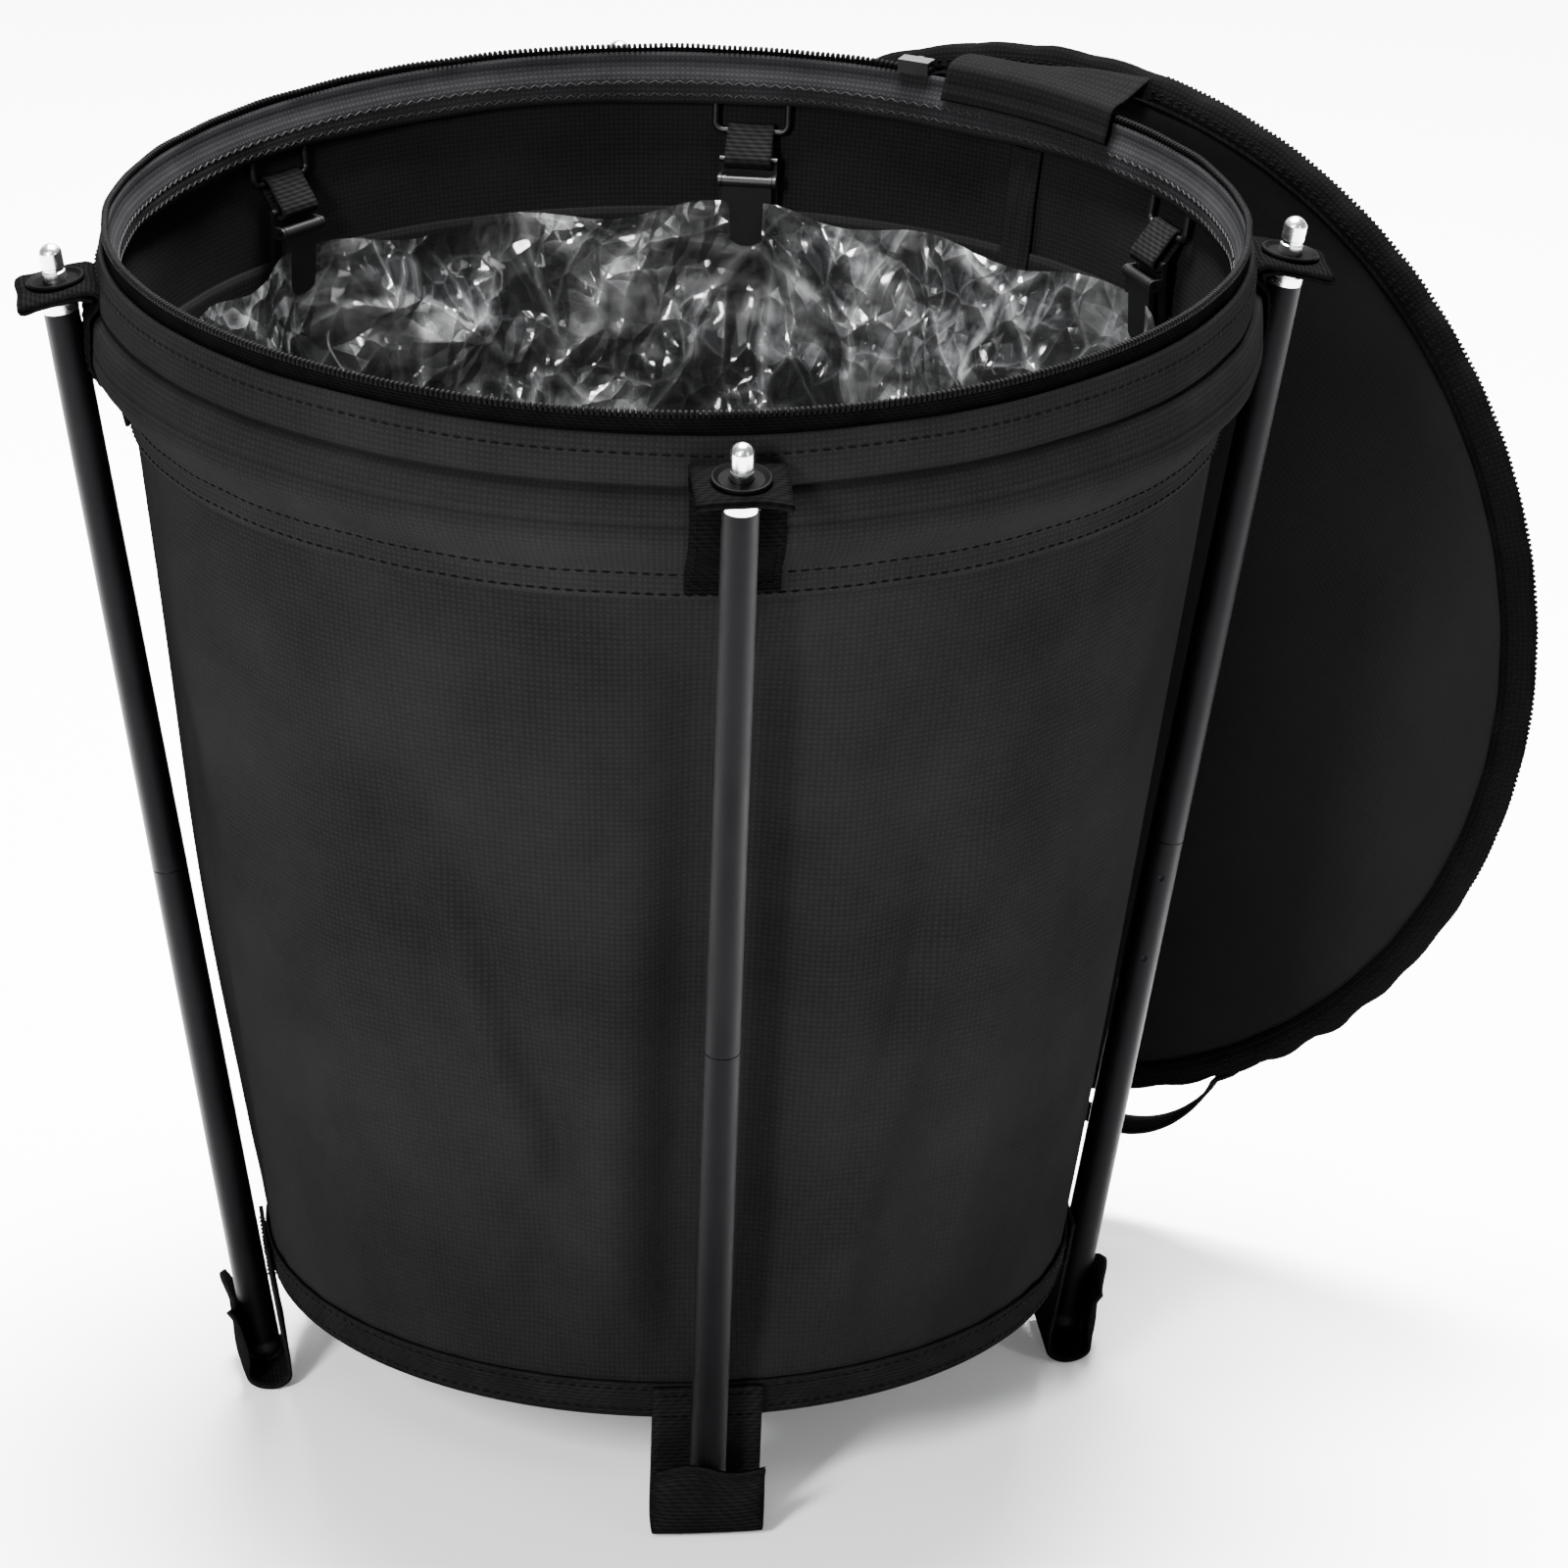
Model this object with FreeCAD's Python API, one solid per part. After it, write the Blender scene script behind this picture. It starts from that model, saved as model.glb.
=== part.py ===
"""Pop-up bin bag holder: a tapered fabric bin hung inside four splayed poles.

Millimetres, +Z up, origin on the floor under the middle of the bin. Azimuths are
in degrees, counter-clockwise from +X, and the front is -Y. The lid is drawn closed
over the mouth and then turned about its cloth hinge to the place where it hangs.
"""
import FreeCAD, Part
import math
import os

os.makedirs("parts", exist_ok=True)
V = FreeCAD.Vector
Z_AXIS = V(0, 0, 1)

# Bin
rim_radius = 195.4
rim_height = 431.0
hem_radius = 140.0
hem_height = 43.0
collar_depth = 65.0
collar_gather = 8.6
panel_thickness = 1.2
collar_thickness = 1.5
panel_lap = 8.0
hem_band_height = 13.0
hem_thickness = 1.4
floor_panel_thickness = 2.4

# Hoop in the sleeve of the collar
hoop_wire_radius = 2.5
hoop_clearance = 0.3
sleeve_bulge = 5.0
sleeve_inner_drop = 4.8
hoop_below_rim = 43.0

# Zip round the rim
bead_radius = 1.4
tape_thickness = 0.8
tape_depth = 18.0
collar_top_drop = 3.5
zip_opening = 2.8
lid_tape_depth = 5.0
slider_length = 12.0
slider_plate = 1.4
slider_clearance = 0.3
slider_web = 1.4
pull_bail_radius = 0.5
bail_clearance = 0.08
slider_past_flap = 1.0
pull_length = 12.0
pull_width = 5.0
pull_thickness = 1.2

# Facing inside the mouth
facing_thickness = 1.0
facing_depth = 20.5
facing_stand_off = 4.2

# Four poles, each a straight line from its foot pouch to its eyelet
pole_count = 4
first_pole_azimuth = -84.15
foot_stand_off = 7.6
foot_height = 27.0
eyelet_stand_off = 18.2
eyelet_drop = 17.6
tube_outer_radius = 6.25
tube_wall = 1.0
tube_joint_share = 0.435
joint_line = 0.4
spigot_clearance = 0.05
spigot_wall = 1.2
spigot_half_length = 32.0
crimp_radius = 2.2
crimp_depth = 0.4
crimp_places = (13.0, 44.0)
foot_cap_drop = 23.2
foot_cap_length = 8.0
foot_cap_stem = 12.0

# Turned pin in the top of each pole
shoulder_radius = 6.9
shoulder_length = 3.2
tenon_radius = 4.0
tenon_rise = 13.0
pin_stem_length = 12.0
groove_depth = 0.5
groove_width = 1.4

# Webbing tab and its eyelet
tab_width = 32.0
webbing_thickness = 1.7
tab_reach = 14.5
tab_foot_drop = 66.0
sewn_clearance = 0.1
eyelet_outer_radius = 10.3
eyelet_hole_clearance = 0.35
eyelet_wall = 0.7
eyelet_roll = 1.0

# Foot pouch
pouch_width = 38.0
pouch_thickness = 1.6
pouch_clearance = 0.9
pouch_sewn_height = 12.0
pouch_lip_rise = 2.5

# Hinge of the lid
hinge_azimuth = 54.7
hinge_stand_off = 8.9
hinge_rise = 16.1
hinge_tilt = 6.0
lid_hang_turn = 88.0
flap_azimuth = 50.0
flap_width = 76.0
flap_thickness = 0.8
flap_bend_radius = 1.2
flap_bend_gap = 0.3

# Lid
lid_disc_inset = 7.6
lid_rise = 10.3
lid_panel_thickness = 2.2
piping_radius = 1.5
lid_band_thickness = 1.2
lid_skirt = 3.6
handle_azimuth = 246.0
handle_span = 10.0
handle_reach = 14.0
handle_width = 11.0
handle_thickness = 1.6

# Clips that hold the bag
clip_azimuths = (25.0, 82.0, 138.0, 205.0, 262.0, 318.0)
ring_wire_radius = 1.25
ring_width = 26.5
ring_top_drop = 14.5
ring_height = 16.0
ring_lean = 2.5
ring_corner = 3.0
clip_width = 21.0
clip_arm = 1.6
clip_strap_thickness = 1.3
clip_rail_radius = 1.2
clip_rail_drop = 39.5
clip_plate_thickness = 1.4
clip_plate_drop = 42.7
clip_plate_length = 26.8
clip_wall_clearance = 0.6
clip_pin_radius = 1.0
clip_pin_drop = 46.5
clip_pin_stand = 3.2
clip_barrel_radius = 2.2
clip_pin_clearance = 0.05
clip_side_clearance = 0.3
lever_thickness = 2.0
lever_overhang = 1.0
jaw_height = 5.0
jaw_groove = 0.5

# Bag
bag_thickness = 0.5
bag_wall_clearance = 1.5
bag_floor_clearance = 1.0
bag_lip_drop = 54.0
bag_grip_drop = 76.0
bag_billows = (
    (0.94, 7.0), (0.88, 3.0), (0.82, 2.2), (0.70, 12.0), (0.58, 5.0), (0.43, 13.0), (0.30, 5.0), (0.15, 9.0),
    (0.05, 3.0))
jaw_film_clearance = 0.1

pole_azimuths = [first_pole_azimuth + index * 360.0 / pole_count for index in range(pole_count)]
pole_names = ("front", "right", "back", "left")
collar_base = rim_height - collar_depth
collar_top = rim_height - collar_top_drop
tape_inner = rim_radius - tape_thickness / 2
tape_outer = rim_radius + tape_thickness / 2
lid_bead_height = rim_height + zip_opening + bead_radius
foot_radius = hem_radius + foot_stand_off
eyelet_radius = rim_radius + eyelet_stand_off
eyelet_height = rim_height - eyelet_drop
hinge_radius = rim_radius + hinge_stand_off
hinge_height = rim_height + hinge_rise
lid_disc_radius = rim_radius - lid_disc_inset


def wall_radius(height):
    """Outer radius of the body panel, a plain cone from hem to collar."""
    top = rim_radius + tape_thickness / 2 - collar_gather + 0.8
    share = (height - hem_height) / (collar_base - hem_height)
    return hem_radius + share * (top - hem_radius)


def polygon_face(points):
    corners = [V(x, 0, z) for x, z in points]
    return Part.Face(Part.makePolygon(corners + corners[:1]))


def turned(face, start=0.0, sweep=360.0):
    """Revolve a face drawn in the XZ plane about the bin's axis."""
    solid = face.revolve(V(0, 0, 0), Z_AXIS, sweep)
    solid.rotate(V(0, 0, 0), Z_AXIS, start)
    return solid


def turned_outline(points, start=0.0, sweep=360.0):
    return turned(polygon_face(points), start, sweep)


def ribbon_points(path, thickness):
    """Both sides of a flat strip that follows a path, with mitred bends."""
    left, right = [], []
    for index, (x, z) in enumerate(path):
        before = path[max(index - 1, 0)]
        after = path[min(index + 1, len(path) - 1)]
        first = V(x - before[0], 0, z - before[1])
        second = V(after[0] - x, 0, after[1] - z)
        first = first if first.Length > 0 else V(second)
        second = second if second.Length > 0 else V(first)
        first.normalize()
        second.normalize()
        mean = first + second
        mean.normalize()
        reach = thickness / 2 / max(mean.dot(first), 0.4)
        left.append((x - mean.z * reach, z + mean.x * reach))
        right.append((x + mean.z * reach, z - mean.x * reach))
    return left + right[::-1]


def strip(path, thickness, width):
    """Webbing or cloth of one thickness, its width along Y."""
    face = polygon_face(ribbon_points(path, thickness))
    face.translate(V(0, -width / 2, 0))
    return face.extrude(V(0, width, 0))


def rod(radius, start, end, y_half=None):
    if y_half is not None:
        return Part.makeCylinder(radius, 2 * y_half, V(start, -y_half, end), V(0, 1, 0))
    return Part.makeCylinder(radius, end - start, V(0, 0, start), Z_AXIS)


def at_azimuth(shape, azimuth):
    placed = shape.copy()
    placed.rotate(V(0, 0, 0), Z_AXIS, azimuth)
    return placed


def save(shape, name):
    shape.exportStep("parts/%s.step" % name)


def save_group(shapes, name):
    save(Part.makeCompound(shapes), name)


def dome_arc(radius, base, tip):
    """Arc in the XZ plane from the edge of a round end to its tip on the axis."""
    height = tip - base
    ball = (radius * radius + height * height) / (2 * abs(height))
    way = 1 if height > 0 else -1
    middle = radius * 0.7
    level = tip - way * (ball - math.sqrt(ball * ball - middle * middle))
    return Part.Arc(V(radius, 0, base), V(middle, 0, level), V(0, 0, tip)).toShape()


# Fabric bin

def body_panel():
    top = collar_base + panel_lap
    inner = panel_thickness
    return turned_outline([
        (wall_radius(hem_height) - inner, hem_height), (wall_radius(hem_height), hem_height),
        (wall_radius(top), top), (wall_radius(top) - inner, top)])


def bottom_panel():
    low = hem_height + 1.0
    high = low + floor_panel_thickness
    return turned_outline([
        (0, low), (wall_radius(low) - panel_thickness, low),
        (wall_radius(high) - panel_thickness, high), (0, high)])


def hem_binding():
    """Folded band round the bottom edge, with a lip turned in under it."""
    low = hem_height - hem_thickness
    top = hem_height + hem_band_height
    return turned_outline([
        (hem_radius - 6.0, low), (wall_radius(low) + hem_thickness, low),
        (wall_radius(top) + hem_thickness, top), (wall_radius(top), top),
        (wall_radius(hem_height), hem_height), (hem_radius - 6.0, hem_height)])


def collar_outer_points():
    bulge = rim_radius + sleeve_bulge
    hoop_height = rim_height - hoop_below_rim
    return [
        (tape_outer + collar_thickness, collar_top), (tape_outer + 2.6, collar_top - 15),
        (bulge - 1.2, hoop_height + 12), (bulge, hoop_height), (bulge - 3.6, hoop_height - 9.5),
        (wall_radius(collar_base) + 3.2, collar_base + 7.0),
        (wall_radius(collar_base) + collar_thickness, collar_base)]


def collar_face(grown=0.0):
    """Section of the collar, its outer side moved out by the amount given."""
    outer_points = [(x + grown, z) for x, z in collar_outer_points()]
    outer = Part.BSplineCurve()
    outer.interpolate([V(x, 0, z) for x, z in outer_points])
    hoop_height = rim_height - hoop_below_rim
    lap_top = collar_base + panel_lap
    inner = [
        outer_points[-1], (wall_radius(collar_base), collar_base),
        (wall_radius(lap_top), lap_top), (rim_radius - sleeve_inner_drop, hoop_height - 2),
        (rim_radius - 1.8, hoop_height + 12), (tape_outer, hoop_height + 24),
        (tape_outer, collar_top), outer_points[0]]
    edges = [outer.toShape()]
    edges += [Part.makeLine(V(a[0], 0, a[1]), V(b[0], 0, b[1])) for a, b in zip(inner, inner[1:])]
    return Part.Face(Part.Wire(edges))


def hoop_centre():
    return V(rim_radius + (sleeve_bulge - sleeve_inner_drop) / 2, 0, rim_height - hoop_below_rim)


def collar():
    tunnel = Part.makeTorus(hoop_centre().x, hoop_wire_radius + hoop_clearance, V(0, 0, hoop_centre().z))
    return turned(collar_face()).cut(tunnel)


def top_hoop():
    return Part.makeTorus(hoop_centre().x, hoop_wire_radius, V(0, 0, hoop_centre().z))


def facing():
    """Band sewn inside the mouth, standing off behind its lower edge to take the rings."""
    outer = tape_inner
    stand = outer - facing_stand_off
    thick = facing_thickness
    low = rim_height - facing_depth
    return turned_outline([
        (outer, rim_height - 3), (outer, rim_height - 7), (stand + 0.5, rim_height - 11.5), (stand, low),
        (stand - thick, low), (stand + 0.5 - thick, rim_height - 11), (outer - thick, rim_height - 6.5),
        (outer - thick, rim_height - 3)])


# Zip

def flap_half_angle():
    return math.degrees(math.atan(flap_width / 2 / rim_radius))


def zip_start():
    return flap_azimuth + flap_half_angle() + 1.0


def zip_sweep():
    return 360.0 - 2 * (flap_half_angle() + 1.0)


def zip_side(bead_height, tape_end):
    """One side of the zip: a tape edge with its row of teeth drawn as an eight-sided bead."""
    low, high = sorted((bead_height, tape_end))
    tape = turned_outline([(tape_inner, low), (tape_outer, low), (tape_outer, high), (tape_inner, high)],
                          zip_start(), zip_sweep())
    corners = [math.radians(22.5 + 45.0 * side) for side in range(8)]
    bead = turned_outline([(rim_radius + bead_radius * math.cos(turn), bead_height + bead_radius * math.sin(turn))
                           for turn in corners], zip_start(), zip_sweep())
    return tape.fuse(bead).removeSplitter()


def body_zip():
    return zip_side(rim_height - bead_radius, rim_height - tape_depth)


def slider_azimuth():
    half = math.degrees(slider_length / 2 / rim_radius)
    return zip_start() + half + math.degrees(slider_past_flap / rim_radius)


def slider_plates():
    gap = bead_radius + slider_clearance
    return rim_radius - gap - slider_plate, rim_radius + gap + slider_plate


def zip_slider():
    """Two plates joined by a web that runs between the two rows of teeth."""
    inner, outer = slider_plates()
    low = collar_top + slider_clearance
    start = -math.degrees(slider_length / 2 / rim_radius)
    sweep = -2 * start
    web_low = rim_height + slider_clearance + 0.1
    high = web_low + slider_web
    sections = [
        (inner, inner + slider_plate, low, high), (outer - slider_plate, outer, low, high),
        (inner + slider_plate, outer - slider_plate, web_low, high)]
    solids = [turned_outline([(a, c), (b, c), (b, d), (a, d)], start, sweep) for a, b, c, d in sections]
    lug = Part.makeBox(1.9, 2.0, 3.0, V(outer - 0.3, -1.0, rim_height - 1.5))
    hole = rod(pull_bail_radius + bail_clearance, bail_x(), rim_height, 3.0)
    return solids[0].multiFuse(solids[1:] + [lug]).cut(hole).removeSplitter()


def bail_x():
    return slider_plates()[1] + 1.0


def zip_pull():
    """Bail through the lug and a flat tongue hanging down the outside."""
    x = bail_x()
    pin = rod(pull_bail_radius, x, rim_height, pull_width / 2)
    arm = Part.makeBox(pull_thickness, 1.2, 5.0, V(x - 0.6, 1.3, rim_height - 5.0))
    arm_two = Part.makeBox(pull_thickness, 1.2, 5.0, V(x - 0.6, -2.5, rim_height - 5.0))
    tongue = Part.makeBox(pull_thickness, pull_width, pull_length - 4.0,
                          V(x - 0.6, -pull_width / 2, rim_height - pull_length))
    return pin.multiFuse([arm, arm_two, tongue]).removeSplitter()


# Poles

def pole_tilt():
    return math.degrees(math.atan2(eyelet_radius - foot_radius, eyelet_height - foot_height))


def pole_length():
    return math.hypot(eyelet_radius - foot_radius, eyelet_height - foot_height)


def on_pole(shape, azimuth):
    """Lay a shape drawn up the Z axis from the pouch mouth along one pole."""
    placed = shape.copy()
    placed.rotate(V(0, 0, 0), V(0, 1, 0), pole_tilt())
    placed.translate(V(foot_radius, 0, foot_height))
    return at_azimuth(placed, azimuth)


def tab_levels():
    """Underside and top of the tab's doubled webbing, measured along the pole."""
    top = pole_length() - 0.8
    return top - 2 * webbing_thickness, top


def shoulder_level():
    return tab_levels()[0] - eyelet_wall - shoulder_length


def joint_level():
    return pole_length() * tube_joint_share


def cap_end():
    return -foot_cap_drop


def tube(start, end):
    inner = tube_outer_radius - tube_wall
    return rod(tube_outer_radius, start, end).cut(rod(inner, start - 1, end + 1))


def pole_upper():
    return tube(joint_level() + joint_line, shoulder_level())


def pole_lower():
    """Lower tube with the crimp marks that hold the spigot."""
    solid = tube(cap_end() + foot_cap_length, joint_level())
    for drop in crimp_places:
        ball = Part.makeSphere(crimp_radius, V(0, -(tube_outer_radius + crimp_radius - crimp_depth),
                                               joint_level() - drop))
        solid = solid.cut(ball)
    return solid


def spigot():
    outer = tube_outer_radius - tube_wall - spigot_clearance
    middle = joint_level()
    solid = rod(outer, middle - spigot_half_length, middle + spigot_half_length)
    return solid.cut(rod(outer - spigot_wall, middle - spigot_half_length - 1, middle + spigot_half_length + 1))


def foot_cap():
    """Plug with a domed end, pushed up into the lower tube."""
    low = cap_end()
    stem = tube_outer_radius - tube_wall - spigot_clearance
    round_start = low + foot_cap_length - 3.0
    top = low + foot_cap_length
    lines = [V(0, 0, low), V(0, 0, top + foot_cap_stem), V(stem, 0, top + foot_cap_stem), V(stem, 0, top),
             V(tube_outer_radius, 0, top), V(tube_outer_radius, 0, round_start)]
    edges = [Part.makeLine(a, b) for a, b in zip(lines, lines[1:])]
    edges.append(dome_arc(tube_outer_radius, round_start, low))
    return Part.Face(Part.Wire(edges)).revolve(V(0, 0, 0), Z_AXIS, 360)


def tip_pin():
    """Stem in the tube, shoulder ring under the tab, then a grooved pin with a domed tip."""
    shoulder = shoulder_level()
    seat = shoulder + shoulder_length
    tip = pole_length() + tenon_rise
    stem = tube_outer_radius - tube_wall - spigot_clearance
    groove = pole_length() + 3.0
    dome = tip - 3.0
    points = [
        (0, shoulder - pin_stem_length), (stem, shoulder - pin_stem_length), (stem, shoulder),
        (shoulder_radius - 0.6, shoulder), (shoulder_radius, shoulder + 0.8),
        (shoulder_radius, seat - 1.0), (shoulder_radius - 1.0, seat), (tenon_radius, seat),
        (tenon_radius, groove), (tenon_radius - groove_depth, groove + 0.4),
        (tenon_radius - groove_depth, groove + groove_width), (tenon_radius, groove + groove_width + 0.4),
        (tenon_radius, dome)]
    lines = [V(x, 0, z) for x, z in points]
    edges = [Part.makeLine(a, b) for a, b in zip(lines, lines[1:])]
    edges += [dome_arc(tenon_radius, dome, tip), Part.makeLine(V(0, 0, tip), lines[0])]
    return Part.Face(Part.Wire(edges)).revolve(V(0, 0, 0), Z_AXIS, 360)


def eyelet():
    """Pressed washer: a barrel through the tab, a flat flange below and a dish with a rolled rim above."""
    low, top = tab_levels()
    hole = tenon_radius + eyelet_hole_clearance
    barrel = hole + eyelet_wall
    lip = eyelet_outer_radius - eyelet_roll
    rim_top = top + eyelet_wall + 0.9
    points = [
        (hole, low - eyelet_wall), (eyelet_outer_radius - 1.5, low - eyelet_wall),
        (eyelet_outer_radius - 1.5, low), (barrel, low), (barrel, top), (lip, top),
        (lip + eyelet_roll * 0.7, top + 0.3), (eyelet_outer_radius, top + 1.0),
        (lip + eyelet_roll * 0.7, rim_top), (lip, rim_top + 0.1), (lip - eyelet_roll * 0.8, rim_top - 0.4),
        (lip - eyelet_roll * 1.6, top + eyelet_wall), (hole, top + eyelet_wall)]
    return polygon_face(points).revolve(V(0, 0, 0), Z_AXIS, 360)


# Webbing

def tab(azimuth):
    """Doubled webbing round the eyelet, its lower end sewn down over the sleeve."""
    low, top = tab_levels()
    middle = (low + top) / 2
    round_radius = (top - low) / 2
    inner = -(eyelet_radius - rim_radius) - 2.0
    loop = Part.makeBox(tab_reach - round_radius - inner, tab_width, top - low, V(inner, -tab_width / 2, low))
    fold = rod(round_radius, tab_reach - round_radius, middle, tab_width / 2)
    barrel = tenon_radius + eyelet_hole_clearance + eyelet_wall + sewn_clearance
    loop = loop.fuse(fold).cut(rod(barrel, low - 1, top + 1))
    loop = on_pole(loop, 0)
    tail = [(x + webbing_thickness / 2 - 0.3, z) for x, z in collar_outer_points()[1:]]
    tail = [point for point in tail if point[1] > rim_height - tab_foot_drop - 1]
    tail_face = polygon_face(ribbon_points(tail, webbing_thickness + 0.6))
    tail_sweep = 2 * math.degrees(tab_width / rim_radius)
    sewn = turned(tail_face, -tail_sweep / 2, tail_sweep)
    depth = 3 * eyelet_stand_off
    slab = Part.makeBox(depth, tab_width, rim_height, V(rim_radius - depth / 2, -tab_width / 2, 0))
    solid = loop.fuse(sewn.common(slab)).cut(turned(collar_face(sewn_clearance)))
    biggest = max(solid.Solids, key=lambda part: part.Volume)
    return at_azimuth(biggest.removeSplitter(), azimuth)


def pole_radius_at(height):
    return foot_radius + (height - foot_height) * math.tan(math.radians(pole_tilt()))


def pouch(azimuth):
    """Webbing sewn to the hem, turned under the pole's end and folded up in front of it."""
    half = pouch_thickness / 2
    clear = tube_outer_radius / math.cos(math.radians(pole_tilt())) + pouch_clearance + half
    sewn_top = hem_height + pouch_sewn_height
    hem_face = hem_thickness + half + 0.15
    heights = (foot_height, foot_height * 0.7, foot_height * 0.36)
    back = [(pole_radius_at(height) - clear, height) for height in heights]
    front = [(pole_radius_at(height) + clear, height) for height in heights[::-1]]
    low = pole_radius_at(half)
    path = [(wall_radius(sewn_top) + hem_face, sewn_top), (wall_radius(hem_height) + hem_face, hem_height)]
    path += back + [(low - clear + 1.6, 3.6), (low - 2.8, half), (low + 3.4, half), (low + clear - 0.2, 3.8)]
    path += front + [(front[-1][0] + 1.6, foot_height + pouch_lip_rise)]
    return at_azimuth(strip(path, pouch_thickness, pouch_width), azimuth)


# Lid, drawn closed and then turned to where it hangs

def hinge_direction():
    tilt = math.radians(hinge_tilt)
    along = math.radians(hinge_azimuth - 90)
    return V(math.cos(along) * math.cos(tilt), math.sin(along) * math.cos(tilt), math.sin(tilt))


def hinge_point():
    turn = math.radians(hinge_azimuth)
    return V(hinge_radius * math.cos(turn), hinge_radius * math.sin(turn), hinge_height)


def hung(shape):
    placed = shape.copy()
    placed.rotate(hinge_point(), hinge_direction(), lid_hang_turn)
    return placed


def lid_panel():
    high = lid_bead_height + lid_rise
    low = high - lid_panel_thickness
    edge = lid_disc_radius - 1.0
    disc = turned_outline([(0, low), (edge, low), (edge, high), (0, high)])
    piping = Part.makeTorus(lid_disc_radius, piping_radius, V(0, 0, high - 0.8))
    return disc.fuse(piping).removeSplitter()


def lid_band():
    """Flared side band between the piping and the zip."""
    half = lid_band_thickness / 2
    foot = tape_outer + half
    skirt = lid_bead_height + bead_radius + 0.5
    high = lid_bead_height + lid_rise - 0.8
    path = [(foot, skirt), (foot, skirt + lid_skirt), (lid_disc_radius + piping_radius + half - 0.3, high)]
    return turned_outline(ribbon_points(path, lid_band_thickness))


def lid_zip():
    return zip_side(lid_bead_height, lid_bead_height + lid_tape_depth)


def lid_handle():
    """Bow of webbing that stands out from the band opposite the hinge."""
    outer = tape_outer + lid_band_thickness
    level = lid_bead_height + bead_radius + 0.6
    span = math.radians(handle_span)
    crown = handle_reach
    shares = (-1.25, -1.0, -0.72, -0.36, 0, 0.36, 0.72, 1.0, 1.25)
    path = []
    for share in shares:
        lift = crown * (math.cos(share * math.pi / 2) ** 0.8 if abs(share) < 1 else 0)
        radius = outer + handle_thickness / 2 + lift
        path.append((radius * math.cos(share * span), radius * math.sin(share * span)))
    points = [V(x, y, level) for x, y in ribbon_points(path, handle_thickness)]
    face = Part.Face(Part.makePolygon(points + points[:1]))
    bow = face.extrude(V(0, 0, min(handle_width, lid_skirt)))
    guard = Part.makeCylinder(outer, 3 * handle_width, V(0, 0, level - handle_width))
    return at_azimuth(bow.cut(guard), handle_azimuth)


def bend_line():
    """The two ends of the line along which the flap bends."""
    slide = hinge_radius * math.tan(math.radians(hinge_azimuth - flap_azimuth))
    middle = hinge_point() + hinge_direction() * slide
    reach = hinge_direction() * (flap_width / 2)
    return middle - reach, middle + reach


def ruled_slab(low_a, low_b, high_a, high_b, low_step, high_step):
    """Cloth between two edges that are not parallel, thickened by a step at each."""
    def side(a, b, c, d):
        return Part.makeRuledSurface(Part.makeLine(a, b), Part.makeLine(c, d))
    faces = [
        side(low_a, low_b, high_a, high_b),
        side(low_a + low_step, low_b + low_step, high_a + high_step, high_b + high_step),
        side(low_a, low_b, low_a + low_step, low_b + low_step),
        side(high_a, high_b, high_a + high_step, high_b + high_step),
        side(low_a, high_a, low_a + low_step, high_a + high_step),
        side(low_b, high_b, low_b + low_step, high_b + high_step)]
    solid = Part.makeSolid(Part.makeShell(faces))
    solid.fix(1e-4, 1e-4, 1e-4)
    return solid


def flap_on_collar():
    """Half of the hinge cloth: from the collar up to a rolled edge on the bend."""
    turn = math.radians(flap_azimuth)
    out = V(math.cos(turn), math.sin(turn), 0)
    along = V(out.y, -out.x, 0)
    foot = out * (tape_outer + 1.4 + flap_thickness) + V(0, 0, collar_top - 6.0)
    low_a, low_b = foot - along * (flap_width / 2), foot + along * (flap_width / 2)
    high_a, high_b = bend_line()
    step = out * -flap_thickness
    sheet = ruled_slab(low_a, low_b, high_a + out * (flap_thickness / 2), high_b + out * (flap_thickness / 2),
                       step, step)
    roll = Part.makeCylinder(flap_bend_radius, flap_width, high_a, hinge_direction())
    return sheet.fuse(roll).cut(turned(collar_face(sewn_clearance)))


def flap_on_lid():
    """Other half of the hinge cloth: from the bend to the lid's band, drawn closed."""
    start = flap_bend_radius + flap_bend_gap
    drop = math.radians(hinge_tilt)
    level = 0.0
    reach = hinge_radius - tape_outer
    land = lid_bead_height + lid_rise - hinge_height
    path = [
        (-start * 0.85, level - start * 0.53), (-reach + 1.2, -5.0), (-reach - 2.6, land - 3.6),
        (-reach - 6.6, land - 1.0)]
    cloth = strip(path, flap_thickness, flap_width)
    slide = hinge_radius * math.tan(math.radians(hinge_azimuth - flap_azimuth))
    cloth.translate(V(0, -slide, 0))
    cloth.rotate(V(0, 0, 0), V(1, 0, 0), -math.degrees(drop))
    cloth.rotate(V(0, 0, 0), Z_AXIS, hinge_azimuth)
    cloth.translate(hinge_point())
    return cloth.cut(lid_band()).cut(lid_panel())


# Clips, drawn at azimuth 0 with the bin's axis towards -X

def ring_bars():
    """Centres of the ring's upper and lower bars in the XZ plane."""
    top = V(tape_inner - ring_wire_radius - 0.65, 0, rim_height - ring_top_drop)
    return top, top - V(ring_lean, 0, ring_height)


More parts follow.
